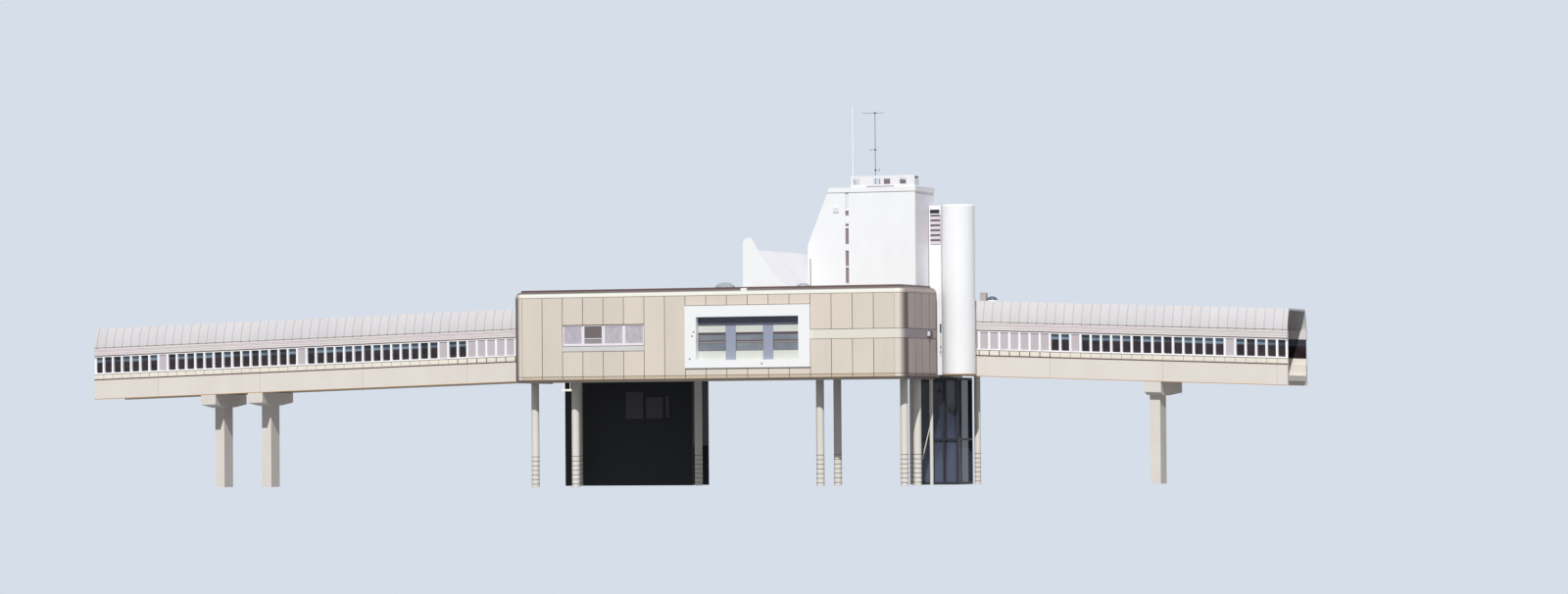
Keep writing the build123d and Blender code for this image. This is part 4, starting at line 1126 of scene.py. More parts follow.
@dataclass(frozen=True)
class Hall:
    """Cladding panels, corner sheets, base edge, trim and roofing felt of the hall."""

    shop: Workshop
    gap: float = 0.017
    proud: float = 0.005
    lap: float = 0.003
    corner_steps: int = 12
    strip: Span = (3.046, 3.122)
    whole: Span = (3.136, 5.362)
    ribbon_gap: Span = (3.840, 4.600)
    surround_gap: Span = (3.322, 5.103)
    band_gap: Span = (4.101, 4.384)
    band: Span = (4.122, 4.363)
    band_start: float = 2.207
    line_top: float = 3.042
    line_proud: float = 0.007
    edge_levels: Span = (2.965, 3.028)
    edge_depth: float = 0.1
    edge_run: float = 0.07
    edge_steps: int = 8
    edge_reach: float = 0.1
    felt_levels: Span = (5.549, 5.554)
    felt_lap: float = 0.004
    felt_strips: int = 11
    felt_fields: tuple[tuple[float, float, float, float], ...] = (
        (-0.08, 11.33, 0.2, 2.78), (0.16, 11.09, 2.84, 5.84),
    )
    # Dark plate round the end lamp stands in for its shadow
    lamp_shadow_plate: Box = ((END_FACE + 0.002, 1.9, 4.13), (END_FACE + 0.012, 2.33, 4.33))
    lamp_shadow_plate_rim: float = 0.012
    lamp: Box = ((END_FACE + 0.012, 1.88, 4.18), (END_FACE + 0.05, 2.02, 4.31))
    lamp_rim: float = 0.02
    lamp_rise: float = 0.015
    bracket: Box = ((6.66, 0.03, 5.45), (6.84, 0.15, 5.556))
    bracket_rim: float = 0.025
    bracket_rise: float = 0.02

    def around(self, gap: Span) -> list[Span]:
        """Levels of the plates under and over a gap."""
        return [(self.whole[0], gap[0]), (gap[1], self.whole[1])]

    def plates(self, start: float, width: float, count: int, face: float,
               rows: list[Span]) -> list[Piece]:
        """Make plates side by side along the front or back.

        Args:
            start: joint where the first one starts.
            width: distance of the joints.
            count: number of plates.
            face: Y of their nearer face.
            rows: lower and upper level of each row.

        Returns:
            One piece for each row.
        """
        pieces = []
        for low, high in rows:
            first = plate((start + self.gap / 2, face, low),
                          (start + width - self.gap / 2, face + self.proud, high))
            pieces.append(repeat(first, count, (width, 0, 0)))
        return pieces

    def fields(self, face: float, fields: list[tuple[int, int, list[Span]]]) -> list[Piece]:
        """Make the plates of several fields of panels.

        Args:
            face: Y of their nearer face.
            fields: for each field its first panel, its number of panels and the levels of its rows.

        Returns:
            One piece for each row of each field.
        """
        pieces = []
        for first, count, rows in fields:
            pieces += self.plates(first * PANEL, PANEL, count, face, rows)
        return pieces

    def end_plates(self, face: float, rows: list[Span]) -> list[Piece]:
        """Make plates side by side on an end wall of the front block.

        Args:
            face: X of their left face.
            rows: lower and upper level of each row.

        Returns:
            One piece for each row.
        """
        pieces = []
        for low, high in rows:
            first = plate((face, CORNER + self.gap, low),
                          (face + self.proud, CORNER + END_PANEL - self.gap, high))
            pieces.append(repeat(first, END_PANELS, (0, END_PANEL, 0)))
        return pieces

    def corner_sheets(self, x: float, y: float, degrees: float, rows: list[Span]) -> list[Piece]:
        """Make curved sheets round a quarter of a corner.

        Args:
            x: middle of the corner's curve.
            y: middle of the corner's curve.
            degrees: direction in which the curve starts; it goes on to the left seen from above.
            rows: lower and upper level of each sheet.

        Returns:
            One piece for each row.
        """
        turn = math.radians(degrees)
        outward = Vector((math.cos(turn), math.sin(turn)))
        onward = Vector((-outward.y, outward.x))
        near = Vector((x, y)) + outward * CORNER
        far = near + outward * self.proud - onward * self.lap
        pieces = []
        for low, high in rows:
            sheet = block("sheet", (min(near.x, far.x), min(near.y, far.y), low),
                          (max(near.x, far.x), max(near.y, far.y), high))
            choose_faces(sheet, facing((onward.x, onward.y, 0.0)))
            bpy.ops.mesh.spin(steps=self.corner_steps, angle=-math.radians(90),
                              center=at(x, y, low), axis=UP)
            leave()
            pieces.append(smooth(tidy_shell(sheet)))
        return pieces

    def front(self) -> list[Piece]:
        """Make the plates of the front, with room for the windows and the side band.

        Returns:
            One piece for each row of each field.
        """
        return self.fields(-self.proud, [
            (0, 2, [self.whole]),
            (2, 4, self.around(self.ribbon_gap)),
            (6, 2, [self.whole]),
            (8, 6, self.around(self.surround_gap)),
            (14, 4, self.around(self.band_gap)),
        ])

    def rear(self) -> list[Piece]:
        """Make the plates of the back, with room for its two windows.

        Returns:
            One piece for each row of each field.
        """
        pieces = self.fields(HALL_BACK, [
            (1, 1, [self.whole]),
            (2, 4, self.around(self.ribbon_gap)),
            (6, 6, [self.whole]),
            (12, 4, self.around(self.ribbon_gap)),
            (16, 1, [self.whole]),
        ])
        for start in (CORNER, HALL_RIGHT - PANEL):
            pieces += self.plates(start, PANEL - CORNER, 1, HALL_BACK, [self.strip, self.whole])
        return pieces

    def corners(self) -> list[Piece]:
        """Make the sheets of all six corners.

        Returns:
            One piece for each sheet.
        """
        full = [self.strip, self.whole]
        split = [self.strip, *self.around(self.band_gap)]
        inner = BLOCK_DEPTH - CORNER
        deep = HALL_BACK - CORNER
        return [
            *self.corner_sheets(0.0, CORNER, 180, full),
            *self.corner_sheets(HALL_RIGHT, CORNER, -90, split),
            *self.corner_sheets(HALL_RIGHT, inner, 0, full),
            *self.corner_sheets(0.0, inner, 90, full),
            *self.corner_sheets(CORNER, deep, 90, full),
            *self.corner_sheets(HALL_RIGHT - CORNER, deep, 0, full),
        ]

    def ends(self) -> list[Piece]:
        """Make the plates of both end walls, with the end of the side band.

        Returns:
            One piece for each row.
        """
        right = self.end_plates(END_FACE, self.around(self.band_gap))
        left = self.end_plates(-CORNER - self.proud, [self.whole])
        band_end = plate((END_FACE, self.band_start, self.band[0]),
                         (END_FACE + self.proud, BLOCK_DEPTH - CORNER, self.band[1]))
        return [*right, *left, band_end]

    def strips(self) -> list[Piece]:
        """Make the strips under the panels on all four sides.

        Returns:
            One piece for each side.
        """
        return [
            *self.plates(0.0, PANEL, FRONT_PANELS, -self.proud, [self.strip]),
            *self.plates(PANEL, PANEL, FRONT_PANELS - 2, HALL_BACK, [self.strip]),
            *self.end_plates(END_FACE, [self.strip]),
            *self.end_plates(-CORNER - self.proud, [self.strip]),
        ]

    def trim(self) -> None:
        """Brown line under the front, the lamp on the right end with a dark plate round it that is its
        painted shadow, and the bracket at the sail.
        """
        line = plate((0.0, -self.line_proud, UNDERSIDE), (HALL_RIGHT, 0.0, self.line_top),
                     name="base_line")
        self.shop.dress(line, LINE_BROWN, Slot.DARK_TRIM)
        # Dark plate painted as the lamp's shadow
        base = inset(block("end_lamp_shadow_plate", *self.lamp_shadow_plate), facing(RIGHT), self.lamp_shadow_plate_rim)
        self.shop.dress(soften(base), BAR_DARK, Slot.DARK_TRIM)
        lamp = inset(block("end_lamp", *self.lamp), facing(RIGHT), self.lamp_rim, self.lamp_rise)
        self.shop.dress(soften(lamp, SOFT_EDGE, 2), VENT_WHITE, Slot.WHITE)
        bracket = inset(block("fin_bracket", *self.bracket), facing(FORWARD), self.bracket_rim,
                        self.bracket_rise)
        self.shop.dress(soften(bracket, SOFT_EDGE, 2), SHELL_WHITE, Slot.WHITE)

    def base_edge(self) -> None:
        """Sloped edge under the panels along the front, round both corners and along the ends."""
        low, high = self.edge_levels
        edge = block("hall_base_edge", (0.0, 0.0, low), (HALL_RIGHT, self.edge_depth, high))
        move_points(edge, lambda point: point.y < self.edge_depth / 2 and point.z < (low + high) / 2,
                    (0.0, self.edge_run, 0.0))
        for way, x in ((1, HALL_RIGHT), (-1, 0.0)):
            choose_faces(edge, lambda centre, normal: normal.x * way > ALIGNED
                         and abs(centre.x - x) < NEAR)
            bpy.ops.mesh.spin(steps=self.edge_steps, angle=-way * math.radians(90),
                              center=at(x, CORNER, low), axis=UP)
            leave()
            choose_faces(edge, lambda centre, normal: normal.y > ALIGNED
                         and (centre.x - x) * way > self.edge_reach)
            pull((0.0, BLOCK_DEPTH - 2 * CORNER, 0.0))
            leave()
        # Its dark beige is painted shade of the edge's underside
        self.shop.dress(smooth(tidy_shell(edge)), BASE_EDGE, Slot.CREAM)

    def roof_felt(self) -> None:
        """Lapped strips of felt on both roofs, inside their white edges."""
        low, high = self.felt_levels
        pieces = []
        for left, right, near, far in self.felt_fields:
            width = (right - left) / self.felt_strips
            strip = block("strip", (left, near, low), (left + width, far, high))
            move_points(strip, lambda point: point.z > ROOF_LEVEL and point.x > left + width / 2,
                        (0.0, 0.0, self.felt_lap))
            pieces.append(repeat(strip, self.felt_strips, (width, 0, 0)))
        self.shop.dress(merge("roof_felt", pieces), FELT, Slot.ROOF_EDGE)

    def build(self) -> None:
        """Build and dress the whole hall body."""
        dress, paint = self.shop.dress, self.shop.paint
        dress(merge("hall_panels", [*self.front(), *self.rear()]), CREAM, Slot.CREAM)
        # End panels, corner sheets, base strips, side band and roof rim carry painted shade towards
        # and on the ends
        dress(merge("end_panels", self.ends()), SHADED_END_CREAM, Slot.CREAM)
        dress(merge("corner_panels", self.corners()), CORNER_CREAM, Slot.CREAM)
        dress(merge("base_strips", self.strips()), STRIP_CREAM, Slot.CREAM)
        self.trim()
        self.base_edge()
        self.roof_felt()
        paint(JOINT, "hall_front_wall", "hall_back_wall", "hall_end_walls", "hall_corner_panels")
        paint(CREAM, "passage_end_walls")
        paint(BAND_CREAM, "side_band")
        paint(RIM_WHITE, "hall_roof")
        paint(EDGE_DARK, "roof_edge_trim")
        # The soffit's dark paint is painted shade under the hall
        paint(SOFFIT_SHADE, "hall_floor", "long_beams", "cross_beams")


@dataclass(frozen=True)
class RibbonWindows:
    """Sashes, panes and fine lines of the three ribbon windows."""

    shop: Workshop
    second_start: float = 7.5
    lights: int = 4
    levels: Span = (3.99, 4.59)
    gap: float = 0.012
    clearance: float = 0.006
    frame: float = 0.034
    recess: float = 0.02
    bottom_rail: float = 0.03
    bottom_reach: float = 0.1
    sash_depths: Span = (0.006, 0.05)
    post_depths: Span = (0.02, 0.06)
    post_half: float = 0.016
    rail_levels: Span = (0.205, 0.225)
    rail_depths: Span = (0.01, 0.03)
    rail_margin: float = 0.04
    pane_depths: Span = (0.022, 0.028)
    pane_margin: float = 0.044
    pane_foot: float = 0.066
    pane_head: float = 0.038
    sill_drop: float = 0.15
    line: float = 0.01
    line_out: float = 0.006
    line_lap: float = 0.002
    level_line_depths: Span = (-0.016, 0.004)
    upright_line: float = 0.009
    upright_line_out: float = 0.007
    upright_line_depths: Span = (-0.008, 0.004)

    @property
    def step(self) -> Triple:
        """Way from one light to the next."""
        return PANEL, 0.0, 0.0

    def layer(self, side: Side, depths: Span) -> Span:
        """Find the Y of a layer behind a long side's face, nearer one first.

        Args:
            side: the long side.
            depths: depth of its outer and its inner face.

        Returns:
            Both Y places.
        """
        face = 0.0 if side is Side.FRONT else HALL_BACK
        values = [face - side.value * depth for depth in depths]
        return min(values), max(values)

    def sash(self, first: float, side: Side) -> Piece:
        """Make the frames of one window's lights, each with a deeper bottom rail.

        Args:
            first: joint at which the window starts.
            side: long side that it lies on.

        Returns:
            All four frames.
        """
        foot, head = self.levels
        near, far = self.layer(side, self.sash_depths)
        sash = block("sash", (first + self.gap, near, foot + self.clearance),
                     (first + PANEL - self.gap, far, head - self.clearance))
        choose_faces(sash, facing(side.outward))
        bpy.ops.mesh.inset(thickness=self.frame, depth=0.0)
        pull((0.0, -side.value * self.recess, 0.0))
        leave()
        inner = self.frame
        move_points(sash, lambda point: point.z < foot + self.bottom_reach
                    and first + inner < point.x < first + PANEL - inner,
                    (0.0, 0.0, self.bottom_rail))
        return repeat(soften(sash, SLIM_EDGE), self.lights, self.step)

    def posts(self, first: float, side: Side) -> list[Piece]:
        """Make one window's posts, and the rail in its second light.

        Args:
            first: joint at which the window starts.
            side: long side that it lies on.

        Returns:
            The posts as one piece, and the rail.
        """
        foot, head = self.levels
        near, far = self.layer(side, self.post_depths)
        post = plate((first - self.post_half, near, foot), (first + self.post_half, far, head))
        near, far = self.layer(side, self.rail_depths)
        low, high = self.rail_levels
        rail = plate((first + PANEL + self.rail_margin, near, foot + low),
                     (first + 2 * PANEL - self.rail_margin, far, foot + high))
        return [repeat(post, self.lights + 1, self.step), rail]

    def panes(self, first: float, side: Side) -> Piece:
        """Make the panes of one window.

        Args:
            first: joint at which the window starts.
            side: long side that it lies on.

        Returns:
            All four panes.
        """
        foot, head = self.levels
        near, far = self.layer(side, self.pane_depths)
        pane = plate((first + self.pane_margin, near, foot + self.pane_foot),
                     (first + PANEL - self.pane_margin, far, head - self.pane_head), HAIR_EDGE)
        return repeat(pane, self.lights, self.step)

    def lines(self) -> Piece:
        """Make the fine brown lines round the front window and its sill band.

        Returns:
            All lines as one piece.
        """
        left, right = RIBBON_START, RIBBON_START + self.lights * PANEL
        foot, head = self.levels
        sill = foot - self.sill_drop
        pieces = []
        near, far = self.level_line_depths
        for z in (sill, foot - self.line_out, head - self.line_lap):
            pieces.append(plate((left - self.line_out, near, z),
                                (right + self.line_out, far, z + self.line)))
        near, far = self.upright_line_depths
        for x in (left - self.upright_line_out, right - self.line_lap):
            pieces.append(plate((x, near, sill), (x + self.upright_line, far, head)))
        return merge("ribbon_window_lines", pieces)

    def build(self) -> None:
        """Build and dress all three windows."""
        frames = []
        panes = []
        for first, side in ((RIBBON_START, Side.FRONT), (RIBBON_START, Side.BACK),
                            (self.second_start, Side.BACK)):
            frames += [self.sash(first, side), *self.posts(first, side)]
            panes.append(self.panes(first, side))
        self.shop.dress(merge("ribbon_window_sashes", frames), LILAC_WHITE, Slot.WHITE_FRAME,
                        "ribbon_window_frames")
        self.shop.dress(merge("ribbon_window_panes", panes), RIBBON_GLASS, Slot.GLASS,
                        "ribbon_window_glass")
        self.shop.dress(self.lines(), LINE_BROWN, Slot.DARK_TRIM)
        self.shop.paint(SILL_BAND, "ribbon_sills")


@dataclass(frozen=True)
class BigWindow:
    """Header plate, boards, dark bars, ledges and panes of the big window."""

    shop: Workshop
    left: float = 5.34
    right: float = 8.41
    pane: float = 0.8233
    pitch: float = 1.1233
    fields: int = 3
    foot: float = 3.558
    header_foot: float = 4.54
    head: float = 4.763
    gap: float = 0.002
    header_depths: Span = (0.125, 0.15)
    header_rim: float = 0.012
    header_sink: float = 0.003
    board_margin: float = 0.004
    board_depths: Span = (0.148, 0.165)
    board_rim: float = 0.01
    board_sink: float = 0.002
    board_levels: tuple[Span, ...] = ((3.558, 3.812), (4.33, 4.538))
    bar_levels: tuple[Span, ...] = ((4.272, 4.326), (4.078, 4.106), (3.812, 3.822))
    bar_depths: Span = (0.154, 0.175)
    side_bar: float = 0.01
    side_bar_depths: Span = (0.156, 0.175)
    ledge_levels: Span = (4.036, 4.076)
    ledge_margin: float = 0.014
    glass_depths: Span = (0.166, 0.172)
    glass_rim: float = 0.004
    glass_head_gap: float = 0.001

    def row(self, piece: Piece) -> Piece:
        """Copies of a part of the first field in all fields."""
        return repeat(piece, self.fields, (self.pitch, 0, 0))

    def span(self, margin: float, depths: Span, levels: Span) -> Box:
        """Find the corners of a part that fills the first field but for a margin on each side.

        Args:
            margin: distance from the field's sides.
            depths: Y of its nearer and farther face.
            levels: its lower and upper level.

        Returns:
            Lowest and highest corner.
        """
        low = (self.left + margin, depths[0], levels[0])
        high = (self.left + self.pane - margin, depths[1], levels[1])
        return low, high

    def boards(self) -> list[Piece]:
        """Make the plain boards with slightly sunk faces.

        Returns:
            One piece for each row.
        """
        rows = []
        for levels in self.board_levels:
            board = block("board", *self.span(self.board_margin, self.board_depths, levels))
            inset(board, facing(FORWARD), self.board_rim, -self.board_sink)
            rows.append(self.row(soften(board)))
        return rows

    def bars(self) -> list[Piece]:
        """Make the level bars, and the upright ones along each field's sides.

        Returns:
            One piece for each row.
        """
        rows = []
        for levels in self.bar_levels:
            corners = self.span(self.gap, self.bar_depths, levels)
            rows.append(self.row(plate(*corners, SLIM_EDGE)))
        near, far = self.side_bar_depths
        right = self.left + self.pane - self.gap
        for x in (self.left + self.gap, right - self.side_bar):
            bar = plate((x, near, self.foot),
                        (x + self.side_bar, far, self.header_foot - self.gap))
            rows.append(self.row(bar))
        return rows

    def build(self) -> None:
        """Build and dress the big window."""
        near, far = self.header_depths
        header = block("header_plate", (self.left + self.gap, near, self.header_foot),
                       (self.right - self.gap, far, self.head))
        inset(header, facing(FORWARD), self.header_rim, -self.header_sink)
        self.shop.dress(soften(header), NAVY, Slot.DARK_TRIM, "big_window_header")
        self.shop.dress(merge("big_window_plain_boards", self.boards()), BOARD, Slot.BOARD,
                        "big_window_boards")
        self.shop.dress(merge("big_window_bars", self.bars()), BAR_DARK, Slot.DARK_TRIM)
        corners = self.span(self.ledge_margin, self.side_bar_depths, self.ledge_levels)
        ledges = self.row(plate(*corners, SLIM_EDGE, "big_window_ledges"))
        self.shop.dress(ledges, LINE_GREY, Slot.BOARD)
        levels = (self.foot + self.gap, self.head - self.glass_head_gap)
        glass = block("big_window_panes", *self.span(self.gap, self.glass_depths, levels))
        glass = self.row(inset(glass, facing(FORWARD), self.glass_rim))
        self.shop.dress(glass, BIG_GLASS, Slot.GLASS, "big_window_glass")
        self.shop.paint(SURROUND_WHITE, "window_surround")
        self.shop.paint(LILAC_GREY, "big_window_frame")


@dataclass(frozen=True)
class Dome:
    """Dome of clear sheet on a low white curb."""

    shop: Workshop
    name: str
    x: float
    y: float
    base: float
    radius: float
    rise: float
    finish: Finish = DOME_CLEAR
    curb: float = 0.045
    curb_rim: float = 0.02
    flats: int = 36

    def build(self) -> None:
        """Build and dress the dome and its curb."""
        middle = at(self.x, self.y, self.base + self.curb)
        clear_selection()
        bpy.ops.mesh.primitive_uv_sphere_add(segments=self.flats, ring_count=self.flats // 2,
                                             radius=self.radius, location=middle)
        sphere = settle(bpy.context.object, self.name)
        choose_faces(sphere)
        bpy.ops.mesh.bisect(plane_co=middle, plane_no=DOWN, clear_outer=True, use_fill=True)
        leave()
        resize(sphere, (1, 1, self.rise / self.radius), middle)
        self.shop.dress(smooth(tidy_shell(sphere)), self.finish, Slot.SHEET, "roof_domes")
        curb = drum(f"{self.name}_curb", self.x, self.y, (self.base, self.base + self.curb),
                    self.radius, self.flats)
        inset(curb, facing(UP), self.curb_rim)
        self.shop.dress(smooth(soften(curb, SOFT_EDGE, 2)), EDGE_WHITE, Slot.SHEET)


@dataclass(frozen=True)
class Masts:
    """White flagpole that narrows towards its head, and the dark mast with the aerials' clamps."""

    shop: Workshop
    pole_x: float = 9.36
    pole_y: float = 1.912
    pole_head: float = 10.685
    pole_radius: float = 0.034
    pole_taper: float = 0.7
    pole_flats: int = 24
    mast_x: float = 9.91
    mast_y: float = 2.25
    mast_head: float = 10.525
    mast_radius: float = 0.009
    mast_rim: float = 0.003
    mast_flats: int = 16
    clamp: float = 0.025
    clamp_height: float = 0.045
    clamp_levels: tuple[float, ...] = (8.862, 9.438, 10.475)

    def build(self) -> None:
        """Build and dress both masts."""
        pole = drum("flagpole", self.pole_x, self.pole_y, (TOWER_ROOF, self.pole_head),
                    self.pole_radius, self.pole_flats)
        resize(pole, (self.pole_taper, self.pole_taper, 1.0),
               at(self.pole_x, self.pole_y, self.pole_head), facing(UP))
        self.shop.dress(smooth(soften(pole, ROUND_EDGE)), POLE_WHITE, Slot.GALVANISED, "roof_masts")
        mast = drum("mast", self.mast_x, self.mast_y, (TOWER_ROOF, self.mast_head),
                    self.mast_radius, self.mast_flats)
        parts = [smooth(inset(mast, facing(UP), self.mast_rim))]
        for z in self.clamp_levels:
            parts.append(plate((self.mast_x - self.clamp, self.mast_y - self.clamp, z),
                               (self.mast_x + self.clamp, self.mast_y + self.clamp,
                                z + self.clamp_height), SOFT_EDGE))
        self.shop.dress(merge("aerial_mast", parts), MAST_GREY, Slot.GALVANISED, "roof_masts")
        self.shop.paint(MAST_GREY, "aerials")


@dataclass(frozen=True)
class RoofScreen:
    """Screen along the front of the tower roof, with the cooling units behind it."""

    shop: Workshop
    left: float = 9.31
    right: float = 11.213
    front: float = 1.862
    head: float = 8.71
    sheet: float = 0.02
    rail: float = 0.0725
    return_depth: float = 0.37
    return_levels: Span = (TOWER_ROOF + 0.035, 8.6)
    holes: tuple[Span, ...] = ((0.075, 0.265), (0.69, 0.88), (0.985, 1.175), (1.46, 1.65))
    cap: Box = ((11.193, 1.882, 8.615), (11.217, 2.162, 8.68))
    foot_shadow: Box = ((9.775, 1.856, TOWER_ROOF + 0.001), (10.597, 1.862, TOWER_ROOF + 0.02))
    tower_corner_shadow: Box = ((11.22, 1.9, 8.275), (11.246, 2.08, 8.385))
    units: tuple[Box, ...] = (
        ((10.0, 2.312, TOWER_ROOF), (10.33, 2.762, 8.635)),
        ((10.4, 2.312, TOWER_ROOF), (10.68, 2.662, 8.615)),
    )
    unit_rim: float = 0.03
    unit_sink: float = 0.012

    def sheets(self) -> None:
        """Front sheet with four openings, and a short return at each end."""
        inside = self.front + self.sheet
        low, high = TOWER_ROOF + self.rail, self.head - self.rail
        parts = [block("rail", (self.left, self.front, TOWER_ROOF), (self.right, inside, low)),
                 block("rail", (self.left, self.front, high), (self.right, inside, self.head))]
        edges = [0.0, *(edge for hole in self.holes for edge in hole), self.right - self.left]
        for near, far in zip(edges[::2], edges[1::2]):
            parts.append(block("post", (self.left + near, self.front, low),
                               (self.left + far, inside, high)))
        foot, head = self.return_levels
        for x in (self.left, self.right - self.sheet):
            parts.append(plate((x, inside, foot),
                               (x + self.sheet, self.front + self.return_depth, head), SLIM_EDGE))
        self.shop.dress(merge("screen_sheets", parts), SCREEN, Slot.WHITE, "roof_screen")

    def marks(self) -> None:
        """Dark cap of the right return, and dark plates that are painted shadow in the gap under the
        front and at the tower's corner.
        """
        marks = [plate(*box) for box in (self.cap, self.foot_shadow, self.tower_corner_shadow)]
        self.shop.dress(merge("screen_marks", marks), MAST_GREY, Slot.DARK_TRIM)

    def build(self) -> None:
        """Build and dress the screen and the units, which have sunk panels on top and in front."""
        self.sheets()
        self.marks()
        parts = []
        for low, high in self.units:
            unit = inset(block("unit", low, high), facing(FORWARD, UP), self.unit_rim,
                         -self.unit_sink, each=True)
            parts.append(soften(unit, ROUND_EDGE))
        self.shop.dress(merge("cooling_unit_bodies", parts), UNIT_GREY, Slot.GREY_FRAME,
                        "cooling_units")


@dataclass(frozen=True)
class Tower:
    """Panes and plates in the tower's tall slot, and the pipe at its left edge."""

    shop: Workshop
    x: float = 8.01
    y: float = 1.85
    slot: Span = (1.13, 1.23)
    rows: tuple[Span, ...] = ((5.702, 6.138), (6.179, 6.617), (6.80, 7.246), (7.30, 7.375),
                              (7.604, 7.741))
    pale_row: Span = (7.775, 8.268)
    pane_gap: float = 0.002
    dark_depths: Span = (0.03, 0.042)
    dark_rim: float = 0.006
    dark_sink: float = 0.002
    pale_depths: Span = (0.02, 0.035)
    pale_rim: float = 0.008
    pale_sink: float = 0.003
    plate_gap: float = 0.001
    plate_depths: Span = (0.004, 0.05)
    pipe_x: float = 0.075
    pipe_out: float = 0.013
    pipe_head: float = 6.4
    pipe_radius: float = 0.012
    pipe_cap: float = 0.006
    pipe_flats: int = 12

    def slot_part(self, name: str, margin: float, depths: Span, levels: Span) -> Piece:
        """Make a box that fills part of the slot.

        Args:
            name: name of the piece.
            margin: distance from the slot's sides.
            depths: how far its faces lie behind the tower's face.
            levels: its lower and upper level.

        Returns:
            The box.
        """
        return block(name, (self.x + self.slot[0] + margin, self.y + depths[0], levels[0]),
                     (self.x + self.slot[1] - margin, self.y + depths[1], levels[1]))

    def fill_slot(self) -> None:
        """Dark panes and a pale one, with white plates between them."""
        panes = []
        for row in self.rows:
            pane = self.slot_part("pane", self.pane_gap, self.dark_depths, row)
            panes.append(inset(pane, facing(FORWARD), self.dark_rim, -self.dark_sink))
        self.shop.dress(merge("slot_dark_panes", panes), SLOT_GLASS, Slot.GLASS, "tower_slot_panes")
        head = self.slot_part("slot_pale_pane", self.pane_gap, self.pale_depths, self.pale_row)
        inset(head, facing(FORWARD), self.pale_rim, -self.pale_sink)
        self.shop.dress(head, SLOT_PALE, Slot.SHEET)
        plates = []
        for (_, low), (high, _) in zip(self.rows, [*self.rows[1:], self.pale_row]):
            part = self.slot_part("plate", self.plate_gap, self.plate_depths, (low, high))
            plates.append(soften(part, SLIM_EDGE))
        self.shop.dress(merge("slot_plates", plates), SHELL_WHITE, Slot.WHITE)

    def build(self) -> None:
        """Build and dress the tower's details."""
        self.fill_slot()
        pipe = drum("tower_pipe", self.x + self.pipe_x, self.y - self.pipe_out,
                    (ROOF_LEVEL, self.pipe_head), self.pipe_radius, self.pipe_flats)
        choose_faces(pipe, facing(UP))
        pull((0.0, 0.0, self.pipe_cap))
        leave()
        self.shop.dress(smooth(pipe), LINE_BROWN, Slot.DARK_TRIM)
        self.shop.paint(SHELL_WHITE, "tower_front_wall", "tower_back_wall", "tower_left_wall",
                        "tower_roof", "tower_coping", "sail_fins", "roof_vent")
        # Lilac tint on the right side is painted sky reflection
        self.shop.paint(SKY_TINTED_SIDE_WHITE, "tower_right_wall")
        # The sail shell's height gradient is painted light
        self.shop.paint(SAIL_WHITE_PAINTED_LIGHT, "sail_shell")
        self.shop.paint(VENT_WHITE, "tower_vent")
        self.shop.paint(HATCH, "walkway_roof_hatch")


